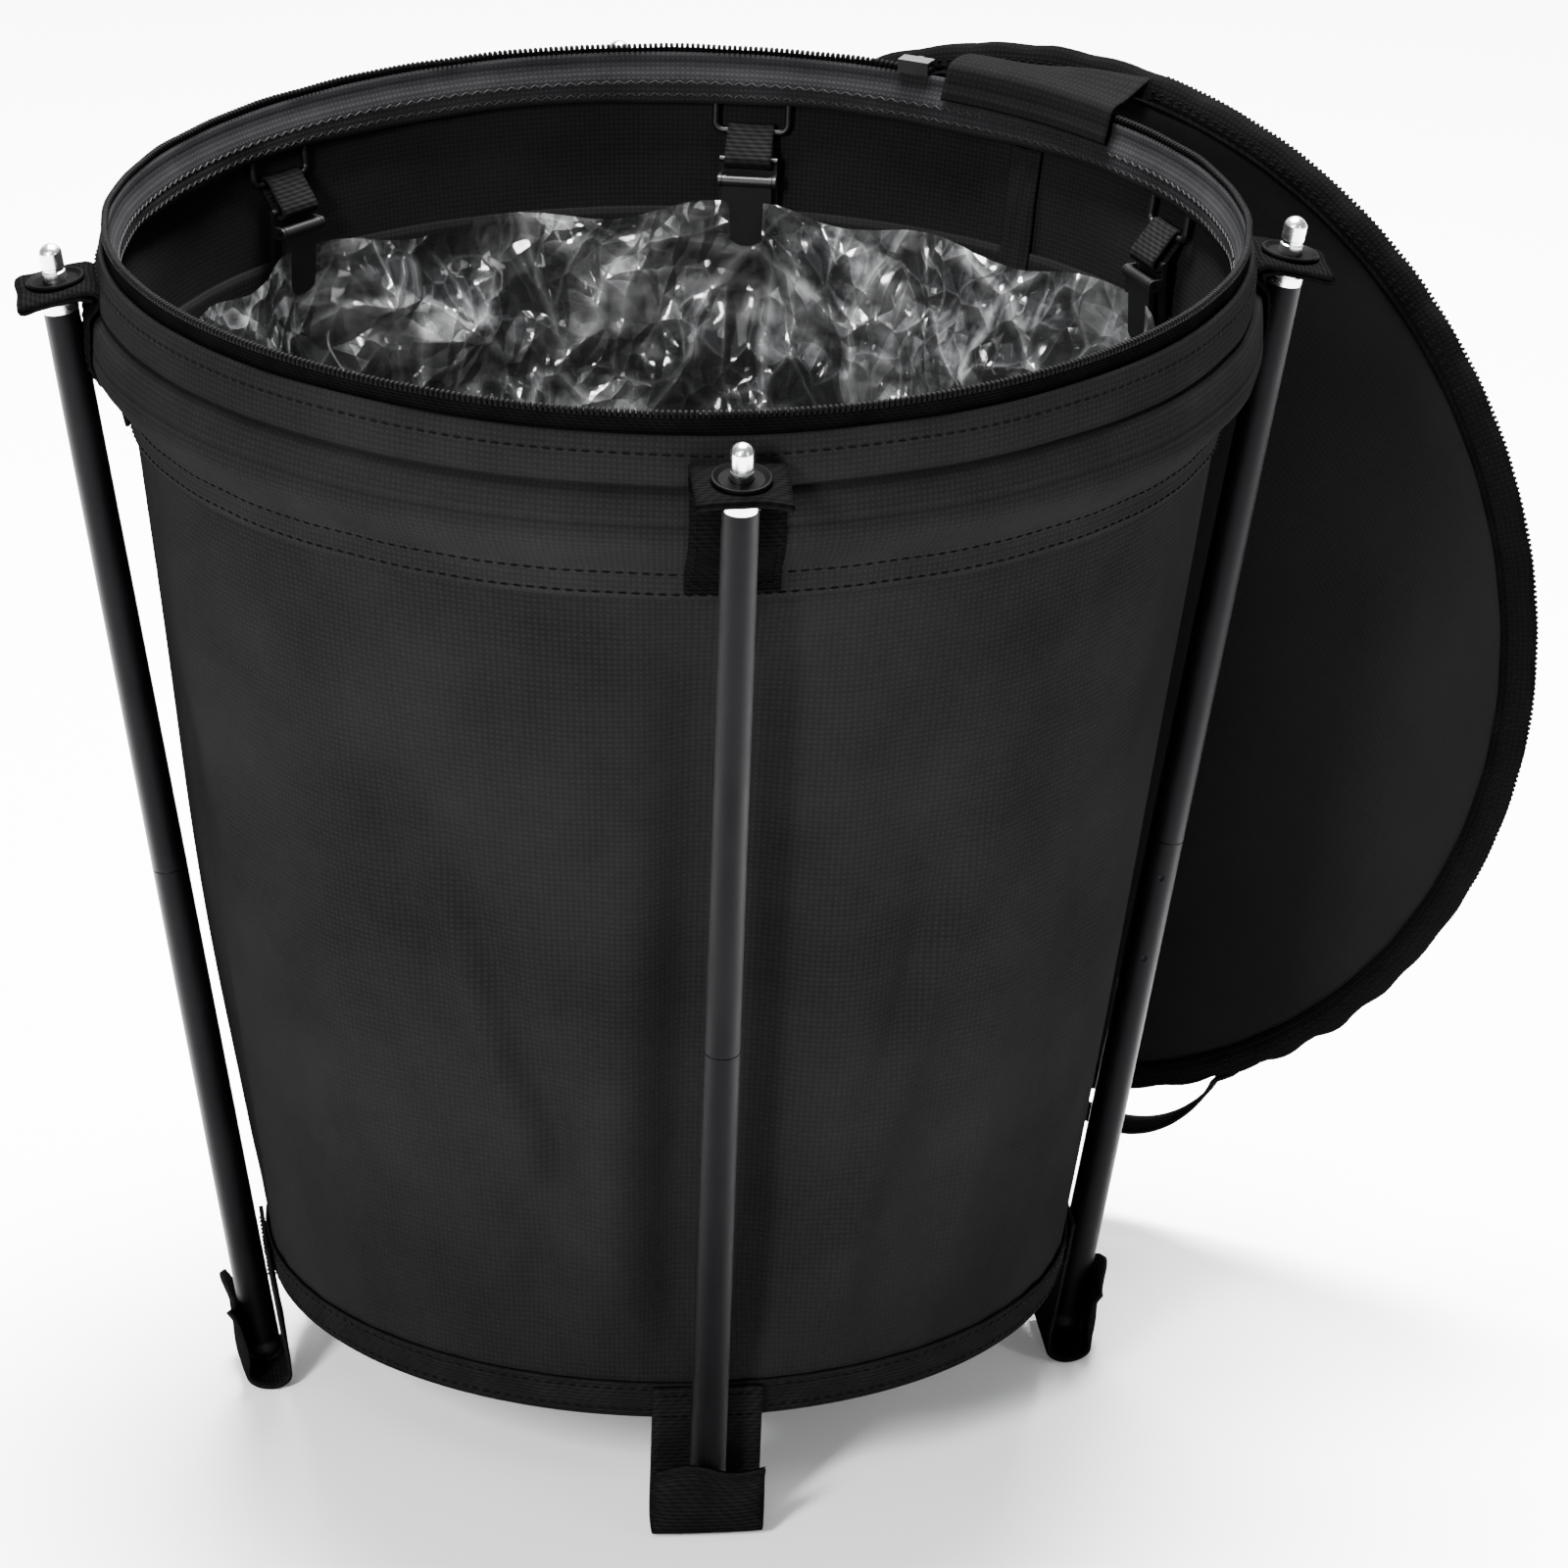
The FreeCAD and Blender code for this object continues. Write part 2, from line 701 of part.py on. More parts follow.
def clip_ring():
    top, bottom = ring_bars()
    half = ring_width / 2
    corner = ring_corner
    length = (top - bottom).Length
    corners = [(half, 0), (half, length), (-half, length), (-half, 0)]
    wire = Part.makePolygon([V(0, y, z) for y, z in corners + corners[:1]])
    # round the corners of the wire by a fillet between neighbouring edges
    edges = wire.Edges
    rounded = []
    starts = []
    for edge in edges:
        direction = edge.tangentAt(edge.FirstParameter)
        a, b = edge.Vertexes[0].Point, edge.Vertexes[1].Point
        starts.append((a + direction * corner, b - direction * corner, b))
    for index, (a, b, point) in enumerate(starts):
        following = starts[(index + 1) % 4][0]
        middle = point + ((b + following) * 0.5 - point) * (2 - math.sqrt(2))
        rounded += [Part.makeLine(a, b), Part.Arc(b, middle, following).toShape()]
    path = Part.Wire(rounded)
    section = Part.Wire(Part.makeCircle(ring_wire_radius, starts[0][0], starts[0][1] - starts[0][0]))
    ring = path.makePipeShell([section], True, False)
    ring.rotate(V(0, 0, 0), V(0, 1, 0), math.degrees(math.atan2(ring_lean, ring_height)))
    ring.translate(bottom)
    return ring


def plate_outer_x():
    low = rim_height - clip_plate_drop - clip_plate_length
    return wall_radius(low) - panel_thickness - clip_wall_clearance - 0.3


def rail_centre():
    return V(plate_outer_x() - clip_plate_thickness / 2, 0, rim_height - clip_rail_drop)


def oblong(first, second, radius):
    """Outline round two centres in the XZ plane, as a face."""
    line = second - first
    line.normalize()
    side = V(line.z, 0, -line.x) * radius
    tip_a = first - line * radius
    tip_b = second + line * radius
    edges = [
        Part.makeLine(first + side, second + side), Part.Arc(second + side, tip_b, second - side).toShape(),
        Part.makeLine(second - side, first - side), Part.Arc(first - side, tip_a, first + side).toShape()]
    return Part.Face(Part.Wire(edges))


def clip_strap():
    """Short loop of webbing from the ring's lower bar to the clip's rail."""
    inner = ring_wire_radius + 0.2
    first, second = rail_centre(), ring_bars()[1]
    face = oblong(first, second, inner + clip_strap_thickness).cut(oblong(first, second, inner))
    width = clip_width - 2 * clip_arm - 0.8
    face.translate(V(0, -width / 2, 0))
    return face.extrude(V(0, width, 0))


def clip_pin_centre():
    return V(plate_outer_x() - clip_plate_thickness - clip_pin_stand, 0, rim_height - clip_pin_drop)


def clip_back():
    """Frame with the strap's rail, the back jaw and the two ears that carry the pin."""
    half = clip_width / 2
    outer = plate_outer_x()
    inner = outer - clip_plate_thickness
    top = rim_height - clip_plate_drop
    plate = Part.makeBox(clip_plate_thickness, clip_width, clip_plate_length, V(inner, -half, top - clip_plate_length))
    rail = rod(clip_rail_radius, rail_centre().x, rail_centre().z, half)
    arms = [Part.makeBox(clip_plate_thickness, clip_arm, rail_centre().z - top + 0.5, V(inner, y, top - 0.5))
            for y in (-half, half - clip_arm)]
    pin = clip_pin_centre()
    ear_width = 1.2
    ears = []
    for y in (-half, half - ear_width):
        disc = Part.makeCylinder(clip_barrel_radius, ear_width, V(pin.x, y, pin.z), V(0, 1, 0))
        block = Part.makeBox(inner - pin.x + 0.2, ear_width, 2 * clip_barrel_radius,
                             V(pin.x, y, pin.z - clip_barrel_radius))
        ears += [disc, block]
    grooves = [rod(jaw_groove, inner, top - clip_plate_length + 1.6 + step * 1.6, half) for step in range(3)]
    pin_hole = rod(clip_pin_radius, pin.x, pin.z, half + 1)
    return plate.multiFuse([rail] + arms + ears).cut(Part.makeCompound(grooves + [pin_hole])).removeSplitter()


def clip_pin():
    pin = clip_pin_centre()
    return rod(clip_pin_radius, pin.x, pin.z, clip_width / 2)


def lever_half_width():
    return clip_width / 2 - 1.2 - clip_side_clearance


def film_span():
    """Inner and outer radius of the film where the jaws hold it."""
    outer = plate_outer_x() - clip_plate_thickness - jaw_film_clearance
    return outer - bag_thickness, outer


def clip_lever():
    """Front jaw: a barrel on the pin and a plate with a round end and a lip that grips the film."""
    pin = clip_pin_centre()
    half = lever_half_width()
    low = rim_height - clip_plate_drop - clip_plate_length - lever_overhang
    face_x = pin.x + 0.6
    sagitta = half * half / 2 / rim_radius
    lip_x = film_span()[0] - sagitta - jaw_film_clearance
    outline = [
        (face_x, pin.z), (face_x, low + jaw_height + 1.5), (lip_x, low + jaw_height), (lip_x, low),
        (face_x - lever_thickness, low), (face_x - lever_thickness, pin.z)]
    face = polygon_face(outline)
    face.translate(V(0, -half, 0))
    plate = face.extrude(V(0, 2 * half, 0))
    end_centre = low + half
    rounded = Part.makeCylinder(half, 20, V(face_x - 10, 0, end_centre), V(1, 0, 0))
    upper = Part.makeBox(20, 2 * half, pin.z - end_centre + 4, V(face_x - 10, -half, end_centre))
    plate = plate.common(rounded.fuse(upper))
    barrel = rod(clip_barrel_radius, pin.x, pin.z, half)
    bore = rod(clip_pin_radius + clip_pin_clearance, pin.x, pin.z, half + 1)
    return plate.fuse(barrel).cut(bore).removeSplitter()


def liner_bag():
    """Thin bag held in the jaws, then hanging off the panel in billows down to the floor panel."""
    inner_lip, outer_lip = film_span()
    lip = rim_height - bag_lip_drop
    grip = rim_height - bag_grip_drop
    low = hem_height + 1.0 + floor_panel_thickness + bag_floor_clearance
    thick = bag_thickness

    def hug(height):
        return wall_radius(height) - panel_thickness - bag_wall_clearance
    hanging = []
    for share, stand_in in bag_billows:
        height = low + (grip - low) * share
        hanging.append((hug(height) - stand_in, height))
    outer = [(outer_lip, lip), (outer_lip, grip)] + hanging
    outer += [(hug(low + 3) - 9, low + 3), (hug(low) - 19, low), (0, low)]
    inner = [(0, low + thick), (hug(low) - 19, low + thick), (hug(low + 3) - 9 - thick, low + 3 + thick * 0.6)]
    inner += [(radius - thick, height) for radius, height in hanging[::-1]] + [(inner_lip, grip), (inner_lip, lip)]
    return turned_outline(outer + inner)


def build():
    save(body_panel(), "body_panel")
    save(bottom_panel(), "bottom_panel")
    save(hem_binding(), "hem_binding")
    save(collar(), "collar")
    save(top_hoop(), "top_hoop")
    save(facing(), "mouth_facing")
    save(body_zip(), "body_zip")
    save(at_azimuth(zip_slider(), slider_azimuth()), "zip_slider")
    save(at_azimuth(zip_pull(), slider_azimuth()), "zip_pull")
    for name, azimuth in zip(pole_names, pole_azimuths):
        save(on_pole(pole_upper(), azimuth), "pole_upper_" + name)
        save(on_pole(pole_lower(), azimuth), "pole_lower_" + name)
        save(on_pole(tip_pin(), azimuth), "tip_pin_" + name)
        save(tab(azimuth), "tab_" + name)
        save(pouch(azimuth), "foot_pouch_" + name)
    save_group([on_pole(spigot(), azimuth) for azimuth in pole_azimuths], "pole_spigots")
    save_group([on_pole(foot_cap(), azimuth) for azimuth in pole_azimuths], "pole_foot_caps")
    save_group([on_pole(eyelet(), azimuth) for azimuth in pole_azimuths], "eyelets")
    save(flap_on_collar(), "flap_on_collar")
    for shape, name in ((flap_on_lid(), "flap_on_lid"), (lid_panel(), "lid_panel"), (lid_band(), "lid_band"),
                        (lid_zip(), "lid_zip"), (lid_handle(), "lid_handle")):
        save(hung(shape), name)
    save_group([at_azimuth(clip_ring(), azimuth) for azimuth in clip_azimuths], "clip_rings")
    save_group([at_azimuth(clip_pin(), azimuth) for azimuth in clip_azimuths], "clip_pins")
    for number, azimuth in enumerate(clip_azimuths, 1):
        save(at_azimuth(clip_strap(), azimuth), "clip_strap_%d" % number)
        save(at_azimuth(clip_back(), azimuth), "clip_back_%d" % number)
        save(at_azimuth(clip_lever(), azimuth), "clip_lever_%d" % number)
    save(liner_bag(), "liner_bag")


build()
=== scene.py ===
"""Looks of the fabric bin bag holder: cloth, webbing, zip, clear bag and finishes around the CAD frame."""
import math

import bpy
import numpy as np
from mathutils import Matrix, Vector


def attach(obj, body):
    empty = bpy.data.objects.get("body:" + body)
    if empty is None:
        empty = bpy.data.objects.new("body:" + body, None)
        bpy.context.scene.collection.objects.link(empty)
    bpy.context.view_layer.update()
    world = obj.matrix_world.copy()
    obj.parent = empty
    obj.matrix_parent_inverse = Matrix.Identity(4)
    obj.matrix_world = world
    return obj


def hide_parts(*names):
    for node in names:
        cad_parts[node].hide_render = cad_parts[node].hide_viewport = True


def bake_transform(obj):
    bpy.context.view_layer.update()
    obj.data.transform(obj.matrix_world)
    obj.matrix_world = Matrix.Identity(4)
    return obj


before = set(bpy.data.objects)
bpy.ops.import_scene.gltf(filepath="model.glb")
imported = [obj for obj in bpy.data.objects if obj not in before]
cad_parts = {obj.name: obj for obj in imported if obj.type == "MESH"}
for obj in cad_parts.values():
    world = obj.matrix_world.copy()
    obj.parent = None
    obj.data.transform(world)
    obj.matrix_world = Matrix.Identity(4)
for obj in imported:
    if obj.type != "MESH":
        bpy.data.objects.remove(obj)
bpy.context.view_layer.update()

chance = np.random.default_rng(7)

# Sizes in millimetres, the same as in the part's source
RIM_RADIUS, HEM_RADIUS, HEM_HEIGHT = 195.4, 140.0, 43.0
COLLAR_BASE, WALL_TOP = 366.0, 188.0
FOOT_RADIUS, FOOT_HEIGHT, POLE_LENGTH = 147.6, 27.0, 392.0
POLE_TILT = math.atan2(66.0, 386.4)
TUBE_RADIUS = 6.25
POLE_AZIMUTHS = {"front": -84.15, "right": 5.85, "back": 95.85, "left": 185.85}
TAB_WIDTH, TAB_REACH, WEBBING = 32.0, 14.5, 1.6
POUCH_WIDTH, POUCH_CLOTH = 38.0, 1.6
CLIP_AZIMUTHS = (25.0, 82.0, 138.0, 205.0, 262.0, 318.0)
CLIP_RAIL, RING_BAR, WIRE_RADIUS = (182.93, 391.5), (190.6, 400.5), 1.25
LOOP_CLOTH, LOOP_WIDTH = 1.2, 16.8
ZIP_START, ZIP_SWEEP = 62.04, 335.92
BODY_BEAD, LID_BEAD, TOOTH_PITCH, TOOTH_HALF = 429.6, 435.2, 1.9, 0.62
LID_TOP, LID_DISC = 445.5, 187.8
HINGE_AZIMUTH, HINGE_RADIUS, HINGE_HEIGHT, HINGE_TILT = 54.7, 204.3, 447.1, 6.0
FLAP_AZIMUTH, FLAP_WIDTH, FLAP_RIM = 48.6, 76.0, 197.5
LID_TURN, SEAM_AZIMUTH = 88.0, 49.5
HANDLE_AZIMUTH, HANDLE_HALF, HANDLE_RISE, HANDLE_HEIGHT = 243.0, 10.0, 14.0, 439.3
FILM_RADIUS, JAW_RADIUS = 180, 179.5  # the clear bag is unrolled at the first, held at the second
FILM_TOP, FILM_FLOOR, FILM_LIP = 377.0, 48.6, 178.6


def smooth_step(value, low, high):
    """0 below low, 1 above high, and 3t^2 - 2t^3 between."""
    t = np.clip((value - low) / (high - low), 0, 1)
    return t * t * (3 - 2 * t)


def angle_from(azimuth, centre):
    """Signed difference of two azimuths in degrees, from -180 to 180."""
    return (azimuth - centre + 180.0) % 360.0 - 180.0


def bell(value, width):
    """1 at 0, falling to 1/e at width: e to the power -(value/width)^2."""
    return np.exp(-(value / width) ** 2)


def ripple(azimuth, number, phase=0):
    """Sine of a number of waves round the bin, from azimuth and phase in degrees."""
    return np.sin(np.radians(azimuth * number + phase))


def around(radius, azimuth, height):
    """Points from radius, azimuth in degrees and height, as arrays of one shape."""
    turn = np.radians(azimuth)
    radius, turn, height = np.broadcast_arrays(radius, turn, height)
    return np.stack([radius * np.cos(turn), radius * np.sin(turn), height], -1)


# Colour and nodes

def linear(code, alpha=1.0):
    """sRGB hex to linear: c/12.92 up to 0.04045, above it ((c + 0.055)/1.055)^2.4."""
    parts = [int(code[i:i + 2], 16) / 255 for i in (1, 3, 5)]
    return [c / 12.92 if c <= 0.04045 else ((c + 0.055) / 1.055) ** 2.4 for c in parts] + [alpha]


def add(tree, kind, settings=None, inputs=None, out=0):
    """Adds a shader node, sets its attributes and gives each input a value or another node's output.
    What comes back is one of its own outputs.
    """
    made = tree.nodes.new("ShaderNode" + kind)
    for key, value in (settings or {}).items():
        setattr(made, key, value)
    for key, value in (inputs or {}).items():
        if isinstance(value, bpy.types.NodeSocket):
            tree.links.new(value, made.inputs[key])
        else:
            made.inputs[key].default_value = value
    return made.outputs[out] if made.outputs else None


def new_material(name):
    """An empty material; its node tree comes back with it."""
    material = bpy.data.materials.new(name)
    material.use_nodes = True
    material.node_tree.nodes.clear()
    return material, material.node_tree


def end_material(tree, factor, dark, light, height, strength, depth, shader):
    """Ends a material: two colours mixed by a factor, and a relief of the given height times depth in
    metres, go to the shader with the constants and links given, and that goes to the output.
    """
    colour = add(tree, "Mix", {"data_type": "RGBA"}, {0: factor, 6: linear(dark), 7: linear(light)}, 2)
    bump = add(tree, "Bump", inputs={"Height": height, "Strength": strength, "Distance": depth})
    surface = add(tree, "BsdfPrincipled", inputs={"Base Color": colour, "Normal": bump, **shader})
    add(tree, "OutputMaterial", inputs={"Surface": surface})


WAVE_PERIOD = 2 * math.pi / 20  # length of one band of a Wave texture at scale 1
TIMES, TIMES_PLUS = {"operation": "MULTIPLY"}, {"operation": "MULTIPLY_ADD"}  # a x b, and a x b + c


def woven(name, dark, light, thread, patch=14.0, strength=0.5):
    """Plain weave on the piece's own UV map, which is in metres: the height is the product of a
    wave across and a wave along, thread millimetres apart, with slubs every 2.4 mm; broad noise,
    1000/patch millimetres across, makes the cloth a little paler in patches.
    """
    material, tree = new_material(name)
    place = add(tree, "UVMap", {"uv_map": "cloth"})
    across, along = (add(tree, "TexWave", {"bands_direction": side}, {
        "Vector": place, "Scale": WAVE_PERIOD / (2 * thread * 0.001), "Distortion": 0.6, "Detail": 1.0,
        "Detail Scale": 0.4}, 1) for side in ("X", "Y"))
    weave = add(tree, "Math", TIMES, {0: across, 1: along})
    broad, slub = (add(tree, "TexNoise", inputs={
        "Vector": place, "Scale": scale, "Detail": detail, "Roughness": rough})
        for scale, detail, rough in ((patch, 4.0, 0.6), (420.0, 2.0, 0.7)))
    shade = add(tree, "Math", TIMES_PLUS, {0: weave, 1: 0.45, 2: broad})
    shade = add(tree, "Math", TIMES_PLUS, {0: slub, 1: 0.3, 2: shade})
    factor = add(tree, "MapRange", inputs={"Value": shade, "From Min": 0.45, "From Max": 1.25})
    lifted = add(tree, "Math", TIMES_PLUS, {0: slub, 1: 0.4, 2: weave})
    end_material(tree, factor, dark, light, lifted, strength, 0.00025,
                 {"Roughness": 0.95, "Specular IOR Level": 0.0})
    return material


def webbing(name, dark, light, rib, roughness):
    """Narrow woven tape: ribs run across it, rib millimetres apart, broken into a herringbone by a
    slanted wave; noise 11 mm across wears the ribs in places.
    """
    material, tree = new_material(name)
    place = add(tree, "UVMap", {"uv_map": "cloth"})
    scale = WAVE_PERIOD / (rib * 0.001)
    across = add(tree, "TexWave", {"bands_direction": "Y"}, {
        "Vector": place, "Scale": scale, "Distortion": 0.8, "Detail": 1.0, "Detail Scale": 0.5}, 1)
    slant = add(tree, "TexWave", {"bands_direction": "DIAGONAL"}, {
        "Vector": place, "Scale": scale * 0.7, "Distortion": 0.3}, 1)
    both = add(tree, "Math", TIMES_PLUS, {0: slant, 1: 0.5, 2: across})
    grain = add(tree, "TexNoise", inputs={"Vector": place, "Scale": 90.0, "Detail": 3.0})
    shade = add(tree, "Math", TIMES, {0: both, 1: grain})
    end_material(tree, shade, dark, light, both, 0.5, 0.0003,
                 {"Roughness": roughness, "Specular IOR Level": 0.0})
    return material


def metal(name, dark, light, roughness, grain=(400.0, 400.0, 9.0), bump=0.06, metallic=1.0):
    """Drawn metal: noise of lines 1 mm wide and 37 mm long changes its height, and with blotches of
    38 mm its colour and gloss, from 0.05 under the roughness to 0.08 over it.
    """
    material, tree = new_material(name)
    place = add(tree, "TexCoord", out="Object")
    stretched = add(tree, "Mapping", inputs={"Vector": place, "Scale": grain})
    lines = add(tree, "TexNoise", inputs={
        "Vector": stretched, "Scale": 3.0, "Detail": 5.0, "Roughness": 0.65})
    blotch = add(tree, "TexNoise", inputs={"Vector": place, "Scale": 26.0, "Detail": 3.0})
    shade = add(tree, "Math", TIMES_PLUS, {0: lines, 1: 0.6, 2: blotch})
    factor, gloss = (add(tree, "MapRange", inputs={
        "Value": shade, "From Min": 0.5, "From Max": 1.1, "To Min": low, "To Max": high})
        for low, high in ((0.0, 1.0), (roughness - 0.05, roughness + 0.08)))
    end_material(tree, factor, dark, light, lines, bump, 0.0001, {"Roughness": gloss, "Metallic": metallic})
    return material


def moulded(name, dark, light, roughness, grit, bump=0.25, gloss_level=0.14):
    """Moulded plastic: a fine spark-eroded grit at the given spacing in millimetres, and blotches of
    17 mm that change its colour, and its roughness by 0.08 either way.
    """
    material, tree = new_material(name)
    place = add(tree, "TexCoord", out="Object")
    fine = add(tree, "TexVoronoi", inputs={"Vector": place, "Scale": 1000.0 / grit})
    blotch = add(tree, "TexNoise", inputs={"Vector": place, "Scale": 60.0, "Detail": 4.0})
    gloss = add(tree, "MapRange", inputs={
        "Value": blotch, "To Min": roughness - 0.08, "To Max": roughness + 0.08})
    end_material(tree, blotch, dark, light, fine, bump, 0.0001,
                 {"Roughness": gloss, "Specular IOR Level": gloss_level, "IOR": 1.5})
    return material


def film(name):
    """Clear polyethylene film: see-through with a haze that is thicker in patches and along its
    creases. The relief adds the distance to the nearest cell edge at three sizes, cells 45, 21 and
    10 mm across: flat facets that meet in sharp creases, longer down the film than across it.
    """
    material, tree = new_material(name)
    place = add(tree, "UVMap", {"uv_map": "cloth"})
    drift = add(tree, "TexNoise", inputs={"Vector": place, "Scale": 16.0, "Detail": 3.0}, out=1)
    moved = add(tree, "VectorMath", TIMES_PLUS, {0: drift, 1: (0.026, 0.036, 0.0), 2: place})
    height, lines = None, None
    for across, turn, share in ((22.0, 0.0, 1.0), (48.0, 0.7, 0.5), (105.0, -0.4, 0.25)):
        set_out = add(tree, "Mapping", inputs={
            "Vector": moved, "Rotation": (0.0, 0.0, turn), "Scale": (across, across * 0.6, 1.0)})
        edge = add(tree, "TexVoronoi", {"feature": "DISTANCE_TO_EDGE", "voronoi_dimensions": "2D"},
                   {"Vector": set_out, "Scale": 1.0})
        crease = add(tree, "MapRange", inputs={
            "Value": edge, "From Max": 0.06, "To Min": share, "To Max": 0.0})
        if height is None:
            height, lines = edge, crease
        else:
            height = add(tree, "Math", TIMES_PLUS, {0: edge, 1: share, 2: height})
            lines = add(tree, "Math", {"operation": "MAXIMUM"}, {0: crease, 1: lines})
    patch = add(tree, "TexNoise", inputs={"Vector": place, "Scale": 20.0, "Detail": 5.0, "Roughness": 0.65})
    milky = add(tree, "MapRange", inputs={
        "Value": patch, "From Min": 0.47, "From Max": 0.78, "To Max": 0.8})
    haze = add(tree, "Math", {**TIMES_PLUS, "use_clamp": True}, {0: lines, 1: 0.3, 2: milky})
    edge_on = add(tree, "LayerWeight", inputs={"Blend": 0.35}, out="Facing")
    cover = add(tree, "Math", TIMES_PLUS, {0: haze, 1: 0.34, 2: 0.22})
    alpha = add(tree, "Math", {**TIMES_PLUS, "use_clamp": True}, {0: edge_on, 1: 0.45, 2: cover})
    end_material(tree, haze, "#222324", "#a8a9aa", height, 1.0, 0.02, {
        "Alpha": alpha, "Roughness": 0.13, "IOR": 1.52, "Specular IOR Level": 1.0, "Coat Weight": 1.0,
        "Coat Roughness": 0.09})
    return material


# 600-denier polyester oxford: matt black-grey, a faint paler grid of threads. Threads are 0.5 mm
# apart, drawn at about 1 mm so that they show.
body_cloth = woven("woven polyester oxford, body", "#0b0b0b", "#151515", 1.0)
collar_cloth = woven("woven polyester oxford, collar", "#0c0c0c", "#161616", 1.0)
lid_cloth = woven("woven polyester oxford, lid top", "#0d0d0d", "#121212", 0.9, strength=0.2)
# The lid's band is the same cloth made darker than the rest: painted shade, for the band that lies in shade
# round the hanging lid.
band_cloth_painted_shade = woven("woven polyester oxford, lid band, painted shade", "#040404", "#090909", 0.9)
lining_cloth = woven("woven polyester lining", "#111112", "#1e1e1f", 0.9, patch=30.0)
# The coated side of the same cloth: the film over the threads leaves them hardly to be seen.
inner_cloth = woven("polyurethane-coated inner face", "#0a0a0a", "#151515", 0.9, patch=7.0, strength=0.06)
# Hinge cloth, darker than the body's: painted shade, which darkens its top where the overhead light falls on
# it.
flap_cloth_painted_shade = woven("woven polyester hinge cloth, painted shade", "#070707", "#0d0d0d", 1.1, strength=0.25)
floor_cloth = woven("woven polyester over board, floor", "#080808", "#0e0e0e", 1.0)
# Binding and zip tape: knitted polyester, deep black with hardly any gloss.
tape_cloth = webbing("knitted zip tape", "#020202", "#080808", 1.1, 0.9)
binding_cloth = webbing("woven hem binding", "#080808", "#121212", 1.4, 0.8)
# Polypropylene webbing: matt black, with ribs across it about 1.6 mm apart.
strap_webbing = webbing("polypropylene webbing", "#070707", "#131313", 1.6, 0.85)
# The same webbing made darker for the tabs: painted shade, which darkens their up-facing tops under the
# overhead light and the strip beside the pole.
tab_webbing_painted_shade = webbing("polypropylene webbing, tabs, painted shade", "#030303", "#090909", 1.6, 0.85)
# Bonded nylon thread: round and nearly matt, each stitch a short dark bead; paler on the facing.
thread = moulded("bonded nylon thread", "#030303", "#080808", 0.7, 0.4, gloss_level=0.01)
zigzag_thread = moulded("bonded nylon thread, facing", "#101010", "#1e1e1e", 0.6, 0.4, gloss_level=0.08)
# Coil of a nylon zip: extruded monofilament, black, with a faint shine on each tooth.
zip_coil = moulded("nylon zip coil", "#020202", "#040404", 0.7, 0.8, 0.1, 0.03)
# Satin anodised aluminium tube, drawn: fine lines along it, dark grey.
anodised = metal("anodised drawn aluminium tube", "#0a0a0b", "#111112", 0.56)
# Bare turned aluminium of the pins: bright, with rings from the lathe 0.7 mm apart.
turned_aluminium = metal("turned bare aluminium", "#c9cacb", "#e9eaeb", 0.22, (60.0, 60.0, 500.0), 0.1)
# Painted and blackened metal: near black, only their edges catch the light.
blackened = moulded("painted steel eyelet", "#010101", "#030303", 0.55, 0.7, 0.1, 0.012)
steel_wire = metal("blackened steel wire", "#070707", "#101011", 0.38, (120.0, 120.0, 120.0), 0.08, 0.7)
die_cast = metal("painted die-cast zinc slider", "#040404", "#0a0a0b", 0.42, (90.0, 90.0, 90.0), 0.08, 0.2)
# Acetal and nylon mouldings: near black, soft gloss with a fine grit.
clip_plastic = moulded("moulded acetal", "#040404", "#0b0b0b", 0.4, 0.5)
cap_plastic = moulded("moulded nylon cap", "#050505", "#0c0c0c", 0.55, 0.6)
clear_film = film("clear polyethylene film")


# Meshes

def grid_faces(rows, columns, closed_rows=False, closed_columns=False):
    """Quads of a rows x columns grid of points, with the row and column number of each corner;
    a closed direction joins its last line to its first.
    """
    i, j = np.meshgrid(np.arange(rows - (not closed_rows)), np.arange(columns - (not closed_columns)),
                       indexing="ij")
    i, j = i.ravel(), j.ravel()
    corner_rows = np.stack([i, i, i + 1, i + 1], 1)
    corner_columns = np.stack([j, j + 1, j + 1, j], 1)
    return corner_rows % rows * columns + corner_columns % columns, corner_rows, corner_columns


def lengths(points, closed):
    """Distance run along the first axis of a grid of points, its mean over the second axis."""
    steps = np.diff(np.concatenate([points, points[:1]]) if closed else points, axis=0)
    return np.concatenate([[0], np.cumsum(np.linalg.norm(steps, axis=-1).mean(1))])


def show(name, data):
    """A new object in the scene."""
    made = bpy.data.objects.new(name, data)
    bpy.context.scene.collection.objects.link(made)
    return made


def surface_of(name, points, faces, material):
    """A smooth mesh from points in millimetres and faces."""
    mesh = bpy.data.meshes.new(name)
    mesh.from_pydata((points.reshape(-1, 3) * 0.001).tolist(), [], faces.tolist())
    mesh.polygons.foreach_set("use_smooth", [True] * len(mesh.polygons))
    mesh.materials.append(material)
    return mesh


def put(name, points, faces, material, body, corners=None, replaces=(), slot=None):
    """Makes a piece on its body, with a UV map in metres from the corners."""
    mesh = surface_of(name, points, faces, material)
    if corners is not None:
        layer = mesh.uv_layers.new(name="cloth")
        layer.data.foreach_set("uv", (corners.reshape(-1, 2) * 0.001).astype(np.float32).ravel())
    mesh.validate()
    piece = show(name, mesh)
    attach(piece, body)
    if replaces:
        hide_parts(*replaces)
    return piece


def volume(points, faces):
    """Signed volume inside quads: a sixth of the sum of corner a . (b x c) over their triangles."""
    p = points.reshape(-1, 3)
    total = 0.0
    for a, b, c in ((0, 1, 2), (0, 2, 3)):
        total += np.einsum("ij,ij->i", p[faces[:, a]], np.cross(p[faces[:, b]], p[faces[:, c]])).sum()
    return total / 6


def face_out(points, faces, *corners):
    """The faces and their UV corners, all turned round if they enclose a negative volume."""
    way = -1 if volume(points, faces) < 0 else 1
    return [grid[:, ::way] for grid in (faces, *corners)]


